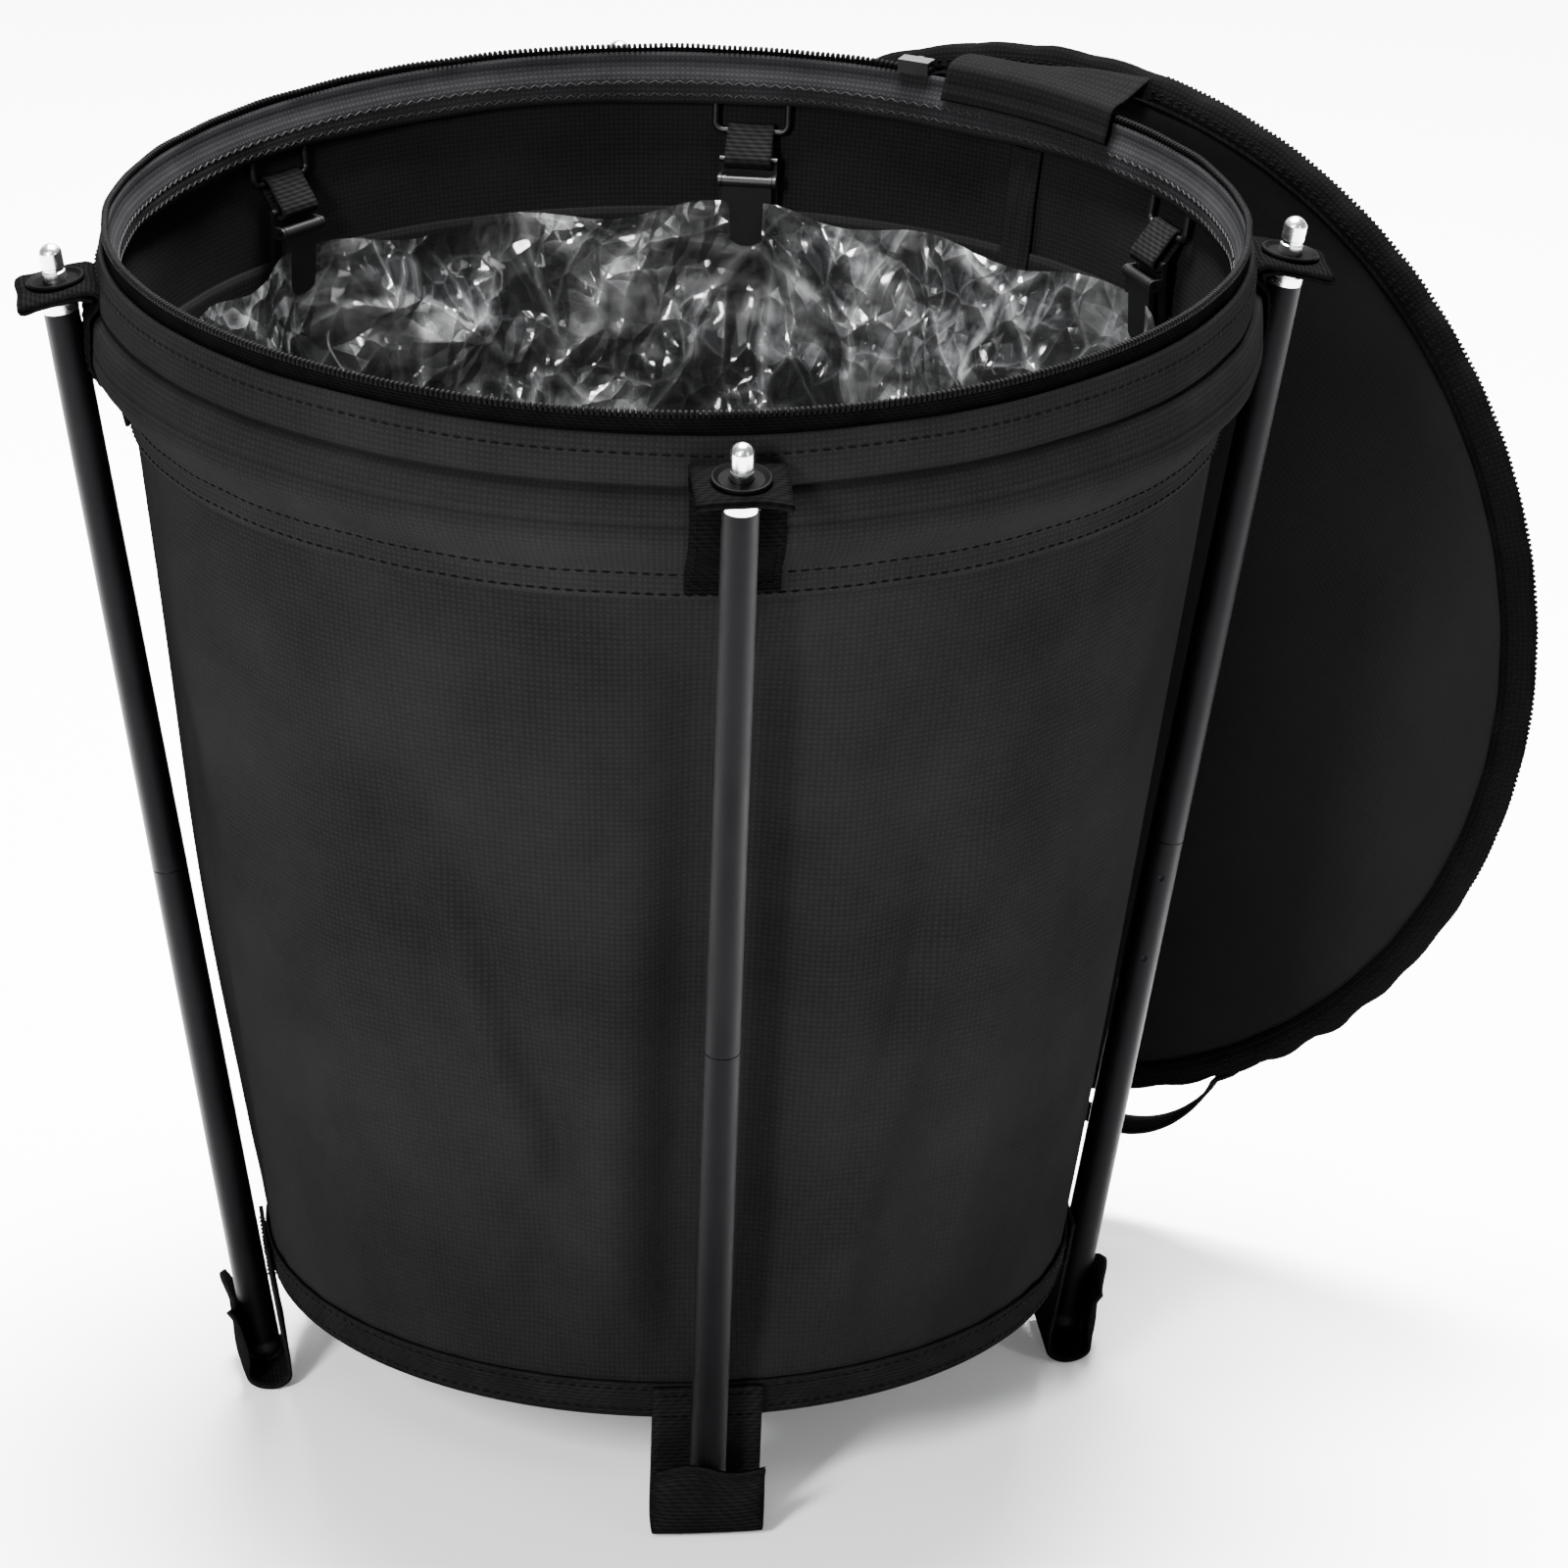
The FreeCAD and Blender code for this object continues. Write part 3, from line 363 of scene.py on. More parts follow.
def put_many(name, points, caps, material, body):
    """Many small solids as one piece: points is copies x rings x corners, with caps on the end rings."""
    count, rings, corners = points.shape[:3]
    one = np.concatenate([grid_faces(rings, corners, closed_columns=True)[0], caps])
    one, = face_out(points[0] - points[0].mean((0, 1)), one)
    faces = (one[None] + rings * corners * np.arange(count)[:, None, None]).reshape(-1, 4)
    put(name, points, faces, material, body)


def normals_of(points, closed_rows, closed_columns):
    """Unit normals of a grid: the cross product of its differences along columns and rows."""
    def slope(axis, closed):
        if closed:
            return np.roll(points, -1, axis) - np.roll(points, 1, axis)
        return np.gradient(points, axis=axis)
    normal = np.cross(slope(1, closed_columns), slope(0, closed_rows))
    return normal / np.maximum(np.linalg.norm(normal, axis=-1, keepdims=True), 1e-9)


def outward_of(points):
    """Normals of an open grid, turned away from the bin's axis as one point of it has them."""
    outward = normals_of(points, False, False)
    return -outward if outward[5, 7] @ points[5, 7] < 0 else outward


def unrolled(points, closed_rows, closed_columns):
    """A grid's faces, the corners of its UV map, and the distances u along its columns and v along
    its rows that these are read from.
    """
    faces, corner_rows, corner_columns = grid_faces(*points.shape[:2], closed_rows, closed_columns)
    u, v = lengths(points.transpose(1, 0, 2), closed_columns), lengths(points, closed_rows)
    return faces, np.stack([u[corner_columns], v[corner_rows]], -1), u, v


def line_inside(piece, material, faces):
    """Gives a run of faces the second material, for the other side of a coated cloth."""
    piece.data.materials.append(material)
    index = np.zeros(len(piece.data.polygons), np.int32)
    index[faces] = 1
    piece.data.polygons.foreach_set("material_index", index)


def cloth(name, middle, thickness, material, body, closed_rows=False, closed_columns=False, **extra):
    """A sheet of even thickness: the grid moved out and in by half of it along its normals, both
    sides joined round their open edges.
    """
    rows, columns = middle.shape[:2]
    offset = normals_of(middle, closed_rows, closed_columns) * (thickness / 2)
    points = np.stack([middle + offset, middle - offset])
    quads, corners, u, v = unrolled(middle, closed_rows, closed_columns)
    count = rows * columns
    faces, uvs = [quads, quads[:, ::-1] + count], [corners, corners[:, ::-1]]
    for closed, line, run in ((closed_rows, 0, u), (closed_columns, 1, v)):
        if closed:
            continue
        wraps = closed_columns if line == 0 else closed_rows
        number = columns if line == 0 else rows
        k = np.arange(number if wraps else number - 1)
        after = (k + 1) % number
        for side in (0, 1):
            start, step = (side * (rows - 1) * columns, 1) if line == 0 else (side * (columns - 1), columns)
            first, second = start + k * step, start + after * step
            edge = np.stack([first, first + count, second + count, second], 1)
            across = np.stack([run[k], run[k], run[k + 1], run[k + 1]], 1)
            depth = np.array([0, thickness, thickness, 0]) * np.ones((len(k), 1))
            way = -1 if (side == 1) == (line == 0) else 1
            faces.append(edge[:, ::way])
            uvs.append(np.stack([across, depth], -1)[:, ::way])
    faces, uvs = face_out(points, np.concatenate(faces), np.concatenate(uvs))
    return put(name, points, faces, material, body, uvs, **extra)


def ring_of_cloth(name, section, material, body, **extra):
    """A closed section carried round the bin: a grid closed both ways."""
    faces, corners = face_out(section, *unrolled(section, True, True)[:2])
    return put(name, section, faces, material, body, corners, **extra)


def stitches(name, path, normal, pitch, length, radius, body="bin", material=thread, swing=0.0):
    """A row of stitches along a path of dense points: each is a four-sided spindle, thick in the
    middle, laid along the path at every pitch; swing moves its ends to either side for a zigzag.
    """
    run = lengths(path[:, None], False)
    count = int(run[-1] / pitch)
    middle = (np.arange(count) + 0.5) * (run[-1] / count)

    def at(values, place):
        return np.stack([np.interp(place, run, values[:, k]) for k in range(3)], 1)
    out = at(normal, middle)
    out /= np.linalg.norm(out, axis=1, keepdims=True)
    ends = [at(path, np.clip(middle + side * length / 2, 0, run[-1])) for side in (-1, 1)]
    along = ends[1] - ends[0]
    along /= np.maximum(np.linalg.norm(along, axis=1, keepdims=True), 1e-9)
    across = np.cross(out, along)
    way = np.where(np.arange(count) % 2 == 0, 1.0, -1.0)[:, None] * swing
    ends = [ends[0] - across * way, ends[1] + across * way]
    sections = []
    for share, width, lift in ((0.0, 0.35, -0.25), (0.25, 1.0, 0.25), (0.75, 1.0, 0.25), (1.0, 0.35, -0.25)):
        centre = ends[0] * (1 - share) + ends[1] * share + out * radius * lift
        sections.append(np.stack([
            centre + (out * math.cos(turn) + across * math.sin(turn)) * radius * width
            for turn in (math.pi / 4, 3 * math.pi / 4, 5 * math.pi / 4, 7 * math.pi / 4)], 1))
    put_many(name, np.stack(sections, 1), np.array([[3, 2, 1, 0], [12, 13, 14, 15]]), material, body)


def spline(frames, run, place):
    """Cubic Hermite line through frames at the distances run, read at place, with slopes from the
    neighbours: (2t^3 - 3t^2 + 1) a + (t^3 - 2t^2 + t) w m + (3t^2 - 2t^3) b + (t^3 - t^2) w n.
    """
    shape = (-1,) + (1,) * (frames.ndim - 1)
    slope = np.gradient(frames, run, axis=0)
    index = np.clip(np.searchsorted(run, place) - 1, 0, len(run) - 2)
    width = (run[index + 1] - run[index]).reshape(shape)
    t = (place - run[index]).reshape(shape) / width
    return ((2 * t ** 3 - 3 * t ** 2 + 1) * frames[index] + (t ** 3 - 2 * t ** 2 + t) * width * slope[index] +
            (3 * t ** 2 - 2 * t ** 3) * frames[index + 1] + (t ** 3 - t ** 2) * width * slope[index + 1])


def rounded(path, count):
    """Even points along a smooth line through the path."""
    path = np.asarray(path, float)
    run = lengths(path[:, None], False)
    return spline(path, run, np.linspace(0, run[-1], count))


def disc(radius, count):
    """A square grid stretched to a disc: x is u times the root of 1 - v^2/2, y the other way round."""
    u, v = np.meshgrid(np.linspace(-1, 1, count), np.linspace(-1, 1, count))
    return radius * u * np.sqrt(1 - v * v / 2), radius * v * np.sqrt(1 - u * u / 2)


def beside(radius, aside, height, azimuth):
    """Points at a radius along one azimuth, moved aside at right angles to it."""
    turn = math.radians(azimuth)
    return np.stack([radius * math.cos(turn) - aside * math.sin(turn),
                     radius * math.sin(turn) + aside * math.cos(turn), height], -1)


# Shape of the bin

def wall_radius(height):
    """Outer radius of the cone, 140 mm at the hem and 188 mm under the collar."""
    return HEM_RADIUS + (height - HEM_HEIGHT) / (COLLAR_BASE - HEM_HEIGHT) * (WALL_TOP - HEM_RADIUS)


def rim_pull(azimuth):
    """How far the rim stands out from a circle: most at the four poles, least between them."""
    corner = 1.3 * np.cos(np.radians(4 * (azimuth - POLE_AZIMUTHS["front"])))
    return corner + 1.2 * bell(angle_from(azimuth, 33.0), 16.0)


fold_list = [
    # azimuth at mid height, width, how deep, height of its middle, half its length, lean
    (-97.5, 4.6, 3.6, 130.0, 110.0, 0.03), (-104.5, 3.6, -4.6, 140.0, 120.0, 0.05),
    (-85.0, 8.5, -13.0, 195.0, 200.0, 0.0), (-88.5, 3.4, -4.5, 190.0, 170.0, 0.008),
    (-78.5, 4.0, -4.0, 190.0, 190.0, -0.006),
    (-68.0, 5.0, 3.4, 180.0, 150.0, -0.02), (-108.5, 2.6, -4.2, 190.0, 80.0, -0.1),
    (-112.5, 2.8, 3.2, 190.0, 85.0, -0.1), (-120.5, 3.2, -3.4, 240.0, 80.0, -0.07),
    (-131.0, 8.0, 2.8, 230.0, 150.0, 0.05), (-61.0, 2.8, -3.2, 200.0, 85.0, 0.09),
    (-57.5, 3.0, 2.6, 200.0, 85.0, 0.09),
    (-58.0, 5.0, -2.6, 210.0, 130.0, -0.05), (-48.0, 7.0, 2.6, 190.0, 130.0, -0.03)]
for _ in range(34):
    fold_list.append((chance.uniform(-180, 180), chance.uniform(2.2, 7.0), chance.uniform(-2.2, 2.4),
                      chance.uniform(90, 320), chance.uniform(50, 130), chance.uniform(-0.06, 0.06)))


def drape(azimuth, height):
    """Folds of the panel: each is a bell across, a bell up and down, and leans; they die out at
    the hem and under the collar. Fine puckers hang from the collar's stitches.
    """
    total = 0.9 * np.sin(np.pi * np.clip((height - HEM_HEIGHT) / (COLLAR_BASE - HEM_HEIGHT), 0, 1))
    for centre, width, deep, middle, reach, lean in fold_list:
        offset = angle_from(azimuth, centre + lean * (height - middle))
        total = total + deep * bell(offset, width) * bell(height - middle, reach)
    pucker = ripple(azimuth, 47) * ripple(azimuth, 13, 40)
    total = total * smooth_step(height, 52, 90) * (1 - smooth_step(height, 325, 362))
    total = total + 0.35 * pucker * bell(height - 352, 22)
    return total + 0.3 * pucker * bell(height - 62, 12)


AROUND = np.linspace(0, 360, 360, endpoint=False)


def body_panel():
    """The tapered wall: the cone's radius and its folds on a grid of azimuth and height, in two
    layers; the inner one has the coated side of the cloth.
    """
    height = np.linspace(HEM_HEIGHT + 0.5, COLLAR_BASE + 6.0, 96)[:, None]
    radius = wall_radius(height) + drape(AROUND, height) - 0.6
    radius = radius - 0.4 * smooth_step(height, 360, 368)
    piece = cloth("body_cloth", around(radius, AROUND, height), 1.1, body_cloth, "bin",
                  closed_columns=True, replaces=["body_panel"], slot="panel_fabric")
    sheet_faces = (len(height) - 1) * len(AROUND)
    line_inside(piece, inner_cloth, slice(sheet_faces, 2 * sheet_faces))


def floor_panel():
    """A disc that rises and falls by 0.35 mm, a sine across times a cosine along."""
    radius = wall_radius(45.0) - 2.0
    x, y = disc(radius, 49)
    lift = 0.35 * np.sin(x / 19.0) * np.cos(y / 23.0) * (1 - (x * x + y * y) / radius ** 2)
    piece = cloth("floor_cloth", np.stack([x, y, 45.2 + lift], -1), 2.0, floor_cloth, "bin",
                  replaces=["bottom_panel"], slot="floor_board")


def hem_band():
    """Band folded under the edge: a path carried round, puckered by a product of sines."""
    path = np.array([(0.9, 56.0), (0.95, 55.2), (1.0, 53), (1.05, 50), (1.0, 47), (0.9, 44.5), (0.6, 43.0),
                     (-0.1, 42.4), (-1.5, 42.2), (-4.0, 42.2), (-6.0, 42.2)])
    stand, height = path[:, :1], path[:, 1:]
    pucker = ripple(AROUND, 58) * ripple(AROUND, 11)
    base = wall_radius(np.maximum(height, HEM_HEIGHT))
    radius = base + stand + 0.28 * pucker * smooth_step(height, 43, 47) * (1 - smooth_step(height, 54, 56))
    piece = cloth("hem_band", around(radius, AROUND, height), 1.1, binding_cloth, "bin",
                  closed_columns=True, replaces=["hem_binding"], slot="panel_fabric")
    for number, level in enumerate((53.6, 45.4)):
        row = around(wall_radius(level) + 1.62 + 0.2 * pucker, AROUND, level)
        stitches("hem_stitches_%d" % number, row, around(1.0, AROUND, 0.0), 4.2, 2.6, 0.32)


def tab_bulge(azimuth):
    """1 at the middle of a pole's tab, fading over about 8 degrees."""
    return sum(bell(angle_from(azimuth, pole), 6.5) for pole in POLE_AZIMUTHS.values())


def collar_radius(azimuth, height):
    """Outer radius of the collar: read from a table of levels, bulging over the hoop and nipped at
    its seam, with ripples between the stitches and a pull at the rim and the tabs.
    """
    levels = [360, 362, 366, 370, 374, 379, 384, 388, 393, 400, 403.6, 404.6, 406, 412, 418, 423]
    radii = [188.3, 188.9, 189.7, 190.1, 191.8, 197.0, 200.9, 202.2, 201.8, 200.8, 200.0, 196.6, 198.2, 198.5,
             198.0, 197.2]
    radius = np.interp(height, levels, radii)
    upper = smooth_step(height, 366, 431)
    fine = ripple(azimuth, 31) * ripple(azimuth, 7, 30)
    slow = ripple(azimuth, 9, 50) + 0.7 * ripple(azimuth, 17)
    radius = radius + rim_pull(azimuth) * upper
    radius = radius + 0.5 * fine * bell(height - 380, 9) + 0.35 * slow * bell(height - 396, 12)
    radius = radius + 0.28 * fine * bell(height - 412, 7) + 0.25 * fine * bell(height - 367, 6)
    return radius + 1.4 * tab_bulge(azimuth) * bell(height - 404, 12)


def collar():
    """Closed section: down the outside from under the zip, and up the inner side of the sleeve."""
    wave = 0.5 * ripple(AROUND, 5) + 0.3 * ripple(AROUND, 14)
    down = [423, 421, 418, 415, 412, 409, 406.4, 405.2, 404.6, 404.0, 402, 399, 396, 393.8, 393, 392.2,
            390, 388, 385, 382, 379, 376.5, 374, 372, 370, 368, 366, 364, 362]
    outer = [around(collar_radius(AROUND, level) - (0.5 if level == 393 else 0.0), AROUND,
                    level + wave * (0.6 if level > 410 else 0.3)) for level in down]
    inner = [(361.6, 187.6), (364, 187.4), (368, 188.4), (374, 189.3), (382, 190.4), (390, 191.6),
             (398, 193.1), (406, 194.8), (412, 195.85), (418, 195.9), (422.6, 195.95)]
    slow = ripple(AROUND, 8) + ripple(AROUND, 19, 20)
    inside = [around(radius + rim_pull(AROUND) * smooth_step(level, 366, 431) +
                     0.5 * slow * bell(level - 386, 12), AROUND, level) for level, radius in inner]
    section = np.stack(outer + inside)
    piece = ring_of_cloth("collar_cloth", section, collar_cloth, "bin",
                          replaces=["collar"], slot="collar_fabric")
    line_inside(piece, inner_cloth, slice(len(outer) * len(AROUND), (len(section) - 1) * len(AROUND)))
    out = around(1.0, AROUND, 0.0)
    for number, level in enumerate((416.5, 371.8, 364.2)):
        row = around(collar_radius(AROUND, level) + 0.12, AROUND, level + wave * 0.5)
        stitches("collar_stitches_%d" % number, row, out, 4.4, 2.9, 0.36)


def mouth_facing():
    """Facing inside the mouth: a path carried round, its low edge puckered by a product of sines."""
    path = np.array([(194.7, 428.0), (194.6, 425.5), (194.2, 423.5), (192.6, 421), (191.3, 419), (190.9, 416),
                     (190.7, 413), (190.6, 410.6)])
    pucker = ripple(AROUND, 23) * ripple(AROUND, 8, 10)
    low = smooth_step(-path[:, 1:], -422, -411)
    radius = path[:, :1] + rim_pull(AROUND) + 0.5 * pucker * low
    height = path[:, 1:] + 0.5 * low * ripple(AROUND, 11)
    piece = cloth("mouth_facing_cloth", around(radius, AROUND, height), 1.0, lining_cloth, "bin",
                  closed_columns=True, replaces=["mouth_facing"], slot="facing_fabric")
    inward = around(-1.0, AROUND, 0.0)
    for number, (level, base) in enumerate(((413.2, 190.15), (417.8, 190.5))):
        row = around(base + rim_pull(AROUND) + 0.4 * pucker * bell(level - 412, 5), AROUND, level)
        stitches("facing_stitches_%d" % number, row, inward, 2.2, 2.4, 0.3, "bin", zigzag_thread, 0.75)


def seam_binding():
    """Strip bound over the panel's side seam inside the mouth: the wall's radius less a crown,
    1 - (across/half)^2, and a wave.
    """
    height = np.linspace(300, 409, 30)[:, None]
    half = 6.5
    across = np.linspace(-half, half, 15)
    azimuth = SEAM_AZIMUTH + np.degrees(across / 190)
    radius = np.interp(height, [300, 366, 374, 390, 398, 409], [175.4, 186.0, 187.8, 190.2, 191.9, 193.9])
    crown = 0.5 + 0.5 * (1 - (across / half) ** 2) + 0.25 * np.sin(across * 0.9 + height / 9)
    points = around(radius - crown + rim_pull(azimuth) * smooth_step(height, 366, 431), azimuth, height)
    piece = cloth("side_seam_binding", points, 0.7, inner_cloth, "bin", slot="facing_fabric")


# The lid's hinge

def hinge_line():
    """Direction of the lid's hinge, level along the rim but for its tilt, and a point on it."""
    tilt, out = math.radians(HINGE_TILT), math.radians(HINGE_AZIMUTH)
    axis = np.array([math.sin(out) * math.cos(tilt), -math.cos(out) * math.cos(tilt), math.sin(tilt)])
    return axis, around(HINGE_RADIUS, HINGE_AZIMUTH, HINGE_HEIGHT)


def hang(points):
    """Turns points of the closed lid about the hinge by its hanging angle (Rodrigues' formula)."""
    axis, base = hinge_line()
    turn = math.radians(LID_TURN)
    arm = points - base
    along = (arm @ axis)[..., None] * axis
    return (base + arm * math.cos(turn) + np.cross(axis, arm) * math.sin(turn) +
            along * (1 - math.cos(turn)))


# Zip

def as_drawn(points):
    """The body's half of the zip stays where it is; the lid's half hangs."""
    return points


def even_rim(azimuth):
    """The lid's rim isn't pulled out of round."""
    return 0 * azimuth


def zip_side(name, bead, tape, body, place, pull):
    """One side of the zip: its tape, a path carried round with a small wave, and a coil drawn as a
    row of eight-sided teeth, each narrowed at its ends, on the bead's line.
    """
    azimuth = np.linspace(ZIP_START, ZIP_START + ZIP_SWEEP, 700)
    wave = 0.25 * ripple(azimuth, 21) + 0.2 * ripple(azimuth, 37)
    line = rounded(tape, 12)
    sheet = around(line[:, :1] + pull(azimuth) + wave * 0.5, azimuth, line[:, 1:] + wave * 0.3)
    piece = cloth(name + "_tape", place(sheet), 0.7, tape_cloth, body, replaces=[name], slot="zip_tape")
    count = int(math.radians(ZIP_SWEEP) * RIM_RADIUS / TOOTH_PITCH)
    centre = ZIP_START + (np.arange(count) + 0.5) * ZIP_SWEEP / count
    half = math.degrees(TOOTH_HALF / RIM_RADIUS)
    rise = np.interp(centre, azimuth, wave * 0.3)
    stand = RIM_RADIUS + pull(centre) + np.interp(centre, azimuth, wave * 0.5)
    ring = [(-1.25, -0.7), (-0.75, -1.25), (0.75, -1.25), (1.25, -0.7), (1.25, 0.7), (0.75, 1.25),
            (-0.75, 1.25), (-1.25, 0.7)]
    points = place(np.stack([np.stack([
        around(stand + x * share, centre + side * half, bead + rise + z * share) for x, z in ring], 1)
        for side, share in ((-1.0, 0.72), (-0.55, 1.0), (0.55, 1.0), (1.0, 0.72))], 1))
    caps = np.array([[7, 6, 1, 0], [6, 5, 2, 1], [5, 4, 3, 2]])
    put_many(name + "_teeth", points, np.concatenate([caps, caps[:, ::-1] + 24]), zip_coil, body)


# Tabs, pouches and straps: a path in the plane of one pole, carried across the width

def on_pole(along, out):
    """Radius and height of a point that lies along a pole from its foot and out from its line."""
    sine, cosine = math.sin(POLE_TILT), math.cos(POLE_TILT)
    return FOOT_RADIUS + along * sine + out * cosine, FOOT_HEIGHT + along * cosine - out * sine


def strap(name, path, width, thickness, azimuth, material, edge, curve=0.0, columns=15, **extra):
    """A flat strap: its path in radius and height is carried sideways; curve pulls its edges in to
    follow the round wall, and edge moves each point of the grid by radius and height.
    """
    across = np.linspace(-width / 2, width / 2, columns)
    move_out, move_up = edge(np.linspace(0, 1, len(path))[:, None], across[None] / (width / 2))
    radius = path[:, :1] - curve * across ** 2 / 2 + move_out
    points = beside(radius, across, path[:, 1:] + move_up, azimuth)
    return cloth(name, points, thickness, material, "bin", slot="webbing", **extra), points


def tab(side, azimuth):
    """Doubled webbing: up over the collar, out past the pin, folded back under and sewn down."""
    layer = WEBBING / 2
    top, low = POLE_LENGTH - 0.8 - layer, POLE_LENGTH - 0.8 - 3 * layer - 0.2  # 0.8 under the tube's end
    path = [(collar_radius(np.array([azimuth]), z)[0] + layer + 0.35, z)
            for z in (365.0, 369.0, 374.0, 380.0, 386.0, 392.0, 398.0, 403.0)]
    path += [on_pole(top - 3.0, -14.6), on_pole(top - 0.4, -11.5), on_pole(top, -8.0), on_pole(top, 0.0),
             on_pole(top, 8.0), on_pole(top - 0.1, TAB_REACH - 2.2)]
    path += [on_pole((top + low) / 2, TAB_REACH - 0.9), on_pole(low, TAB_REACH - 2.2), on_pole(low, 8.0),
             on_pole(low, 0.0), on_pole(low, -7.0), on_pole(low - 1.5, -12.0)]
    line = rounded(path, 90)
    sewn = 1 - smooth_step(line[:, 1:], 396, 406)

    def edge(share, across):
        end = bell(share - 0.72, 0.1)
        ruffle = 0.9 * end * (np.abs(across) ** 3) * np.where(across > 0, 1.0, 0.6)
        return 0.25 * np.sin(across * 5 + azimuth) * (1 - sewn), -ruffle * 2.2
    piece, points = strap("tab_webbing_painted_shade_" + side, line, TAB_WIDTH, WEBBING, azimuth, tab_webbing_painted_shade, edge,
                          sewn / 200.0, replaces=["tab_" + side])
    outward = outward_of(points)
    for number, (rows, columns, pitch, length) in enumerate((
            (slice(2, 34), 1, 3.4, 2.2), (slice(2, 34), 13, 3.4, 2.2), (3, slice(1, 14), 3.0, 2.0))):
        out = outward[rows, columns]
        stitches("tab_stitches_%s_%d" % (side, number), points[rows, columns] + out * (layer + 0.15), out,
                 pitch, length, 0.34)


def bare_end(side, azimuth):
    """Bare aluminium end of a tube under its tab: a small profile turned round the pole's line."""
    profile = np.array([(-0.4, -11.2), (0.05, -11.2), (0.14, -10.9), (0.14, -4.7), (0.05, -4.4),
                        (-0.4, -4.4)]) + (TUBE_RADIUS, POLE_LENGTH)
    turn = np.linspace(0, 2 * np.pi, 48, endpoint=False)
    radius, height = on_pole(profile[:, 1:] + 0 * turn, profile[:, :1] * np.cos(turn))
    points = beside(radius, profile[:, :1] * np.sin(turn), height, azimuth)
    faces, = face_out(points, grid_faces(len(profile), len(turn), True, True)[0])
    put("pole_bare_end_" + side, points, faces, turned_aluminium, "bin", slot="pin_metal")


def pouch(side, azimuth):
    """Webbing sewn to the hem, turned under the pole's end and up in front: a path carried sideways,
    its front bellied by 1 - across^2, pinched by across^4 and with a lip that waves as a sine.
    """
    half = POUCH_CLOTH / 2
    clear = TUBE_RADIUS / math.cos(POLE_TILT) + 0.9 + half

    def pole_radius(height):
        return FOOT_RADIUS + (height - FOOT_HEIGHT) * math.tan(POLE_TILT)
    face = 1.4 + half + 0.2  # over the hem's band
    path = [(wall_radius(z) + face, z) for z in (55.0, 49.0, 43.0)]
    path += [(pole_radius(z) - clear, z) for z in (34.0, 27.0, 18.9, 9.7)]
    low = pole_radius(half)
    path += [(low - clear + 1.6, 4.0), (low - 2.8, half + 0.5), (low + 3.4, half + 0.5),
             (low + clear - 0.2, 4.2)]
    path += [(pole_radius(z) + clear, z) for z in (9.7, 18.9, 27.0)]
    path.append((pole_radius(27.0) + clear + 1.6, 29.5))
    line = rounded(path, 110)
    phase = {"front": 3.1, "right": 1.4, "back": 2.6, "left": 3.9}[side]

    def edge(share, across):
        front = smooth_step(share, 0.66, 0.8)
        lip = smooth_step(share, 0.8, 1.0)
        pinch = (across ** 4) * 2.6 * bell(share - 0.84, 0.12)
        belly = 0.9 * (1 - across ** 2) * bell(share - 0.8, 0.1)
        wave = 1.6 * np.sin(across * 3.4 + phase) * lip
        flare = across * bell(share - 0.66, 0.12)
        return (belly * front - pinch * front + 1.1 * wave,
                wave * 1.6 - 0.5 * across ** 2 * lip + 0.4 * flare ** 2)
    piece, points = strap("pouch_webbing_" + side, line, POUCH_WIDTH, POUCH_CLOTH, azimuth, strap_webbing,
                          edge, replaces=["foot_pouch_" + side])
    outward = outward_of(points)
    for number, row in enumerate((3, 13)):
        out = outward[row, 1:14]
        stitches("pouch_stitches_%s_%d" % (side, number), points[row, 1:14] + out * (half + 0.15), out,
                 3.2, 2.2, 0.34)


def clip_strap(number, azimuth):
    """Loop of webbing between the ring's bar and the clip's rail: two half turns and two runs."""
    first, second = np.array(CLIP_RAIL), np.array(RING_BAR)
    line = second - first
    line /= np.linalg.norm(line)
    side = np.array([line[1], -line[0]])
    radius = WIRE_RADIUS + 0.2 + 0.65  # with a little room and half the webbing
    turn = np.linspace(0, np.pi, 9)[:, None]
    over = second + radius * (side * np.cos(turn) + line * np.sin(turn))
    under = first + radius * (-side * np.cos(turn) - line * np.sin(turn))
    run = np.linspace(0, 1, 6)[1:-1, None]
    path = np.concatenate([over, over[-1] * (1 - run) + under[0] * run,
                           under, under[-1] * (1 - run) + over[0] * run])

    def edge(share, across):
        return 0.0 * across, 0.25 * across ** 2 * np.sin(2 * np.pi * share)
    piece, _ = strap("clip_webbing_%d" % number, path, LOOP_WIDTH, LOOP_CLOTH, azimuth, strap_webbing, edge,
                     columns=9, closed_rows=True, replaces=["clip_strap_%d" % number])


# Lid, drawn closed and then hung

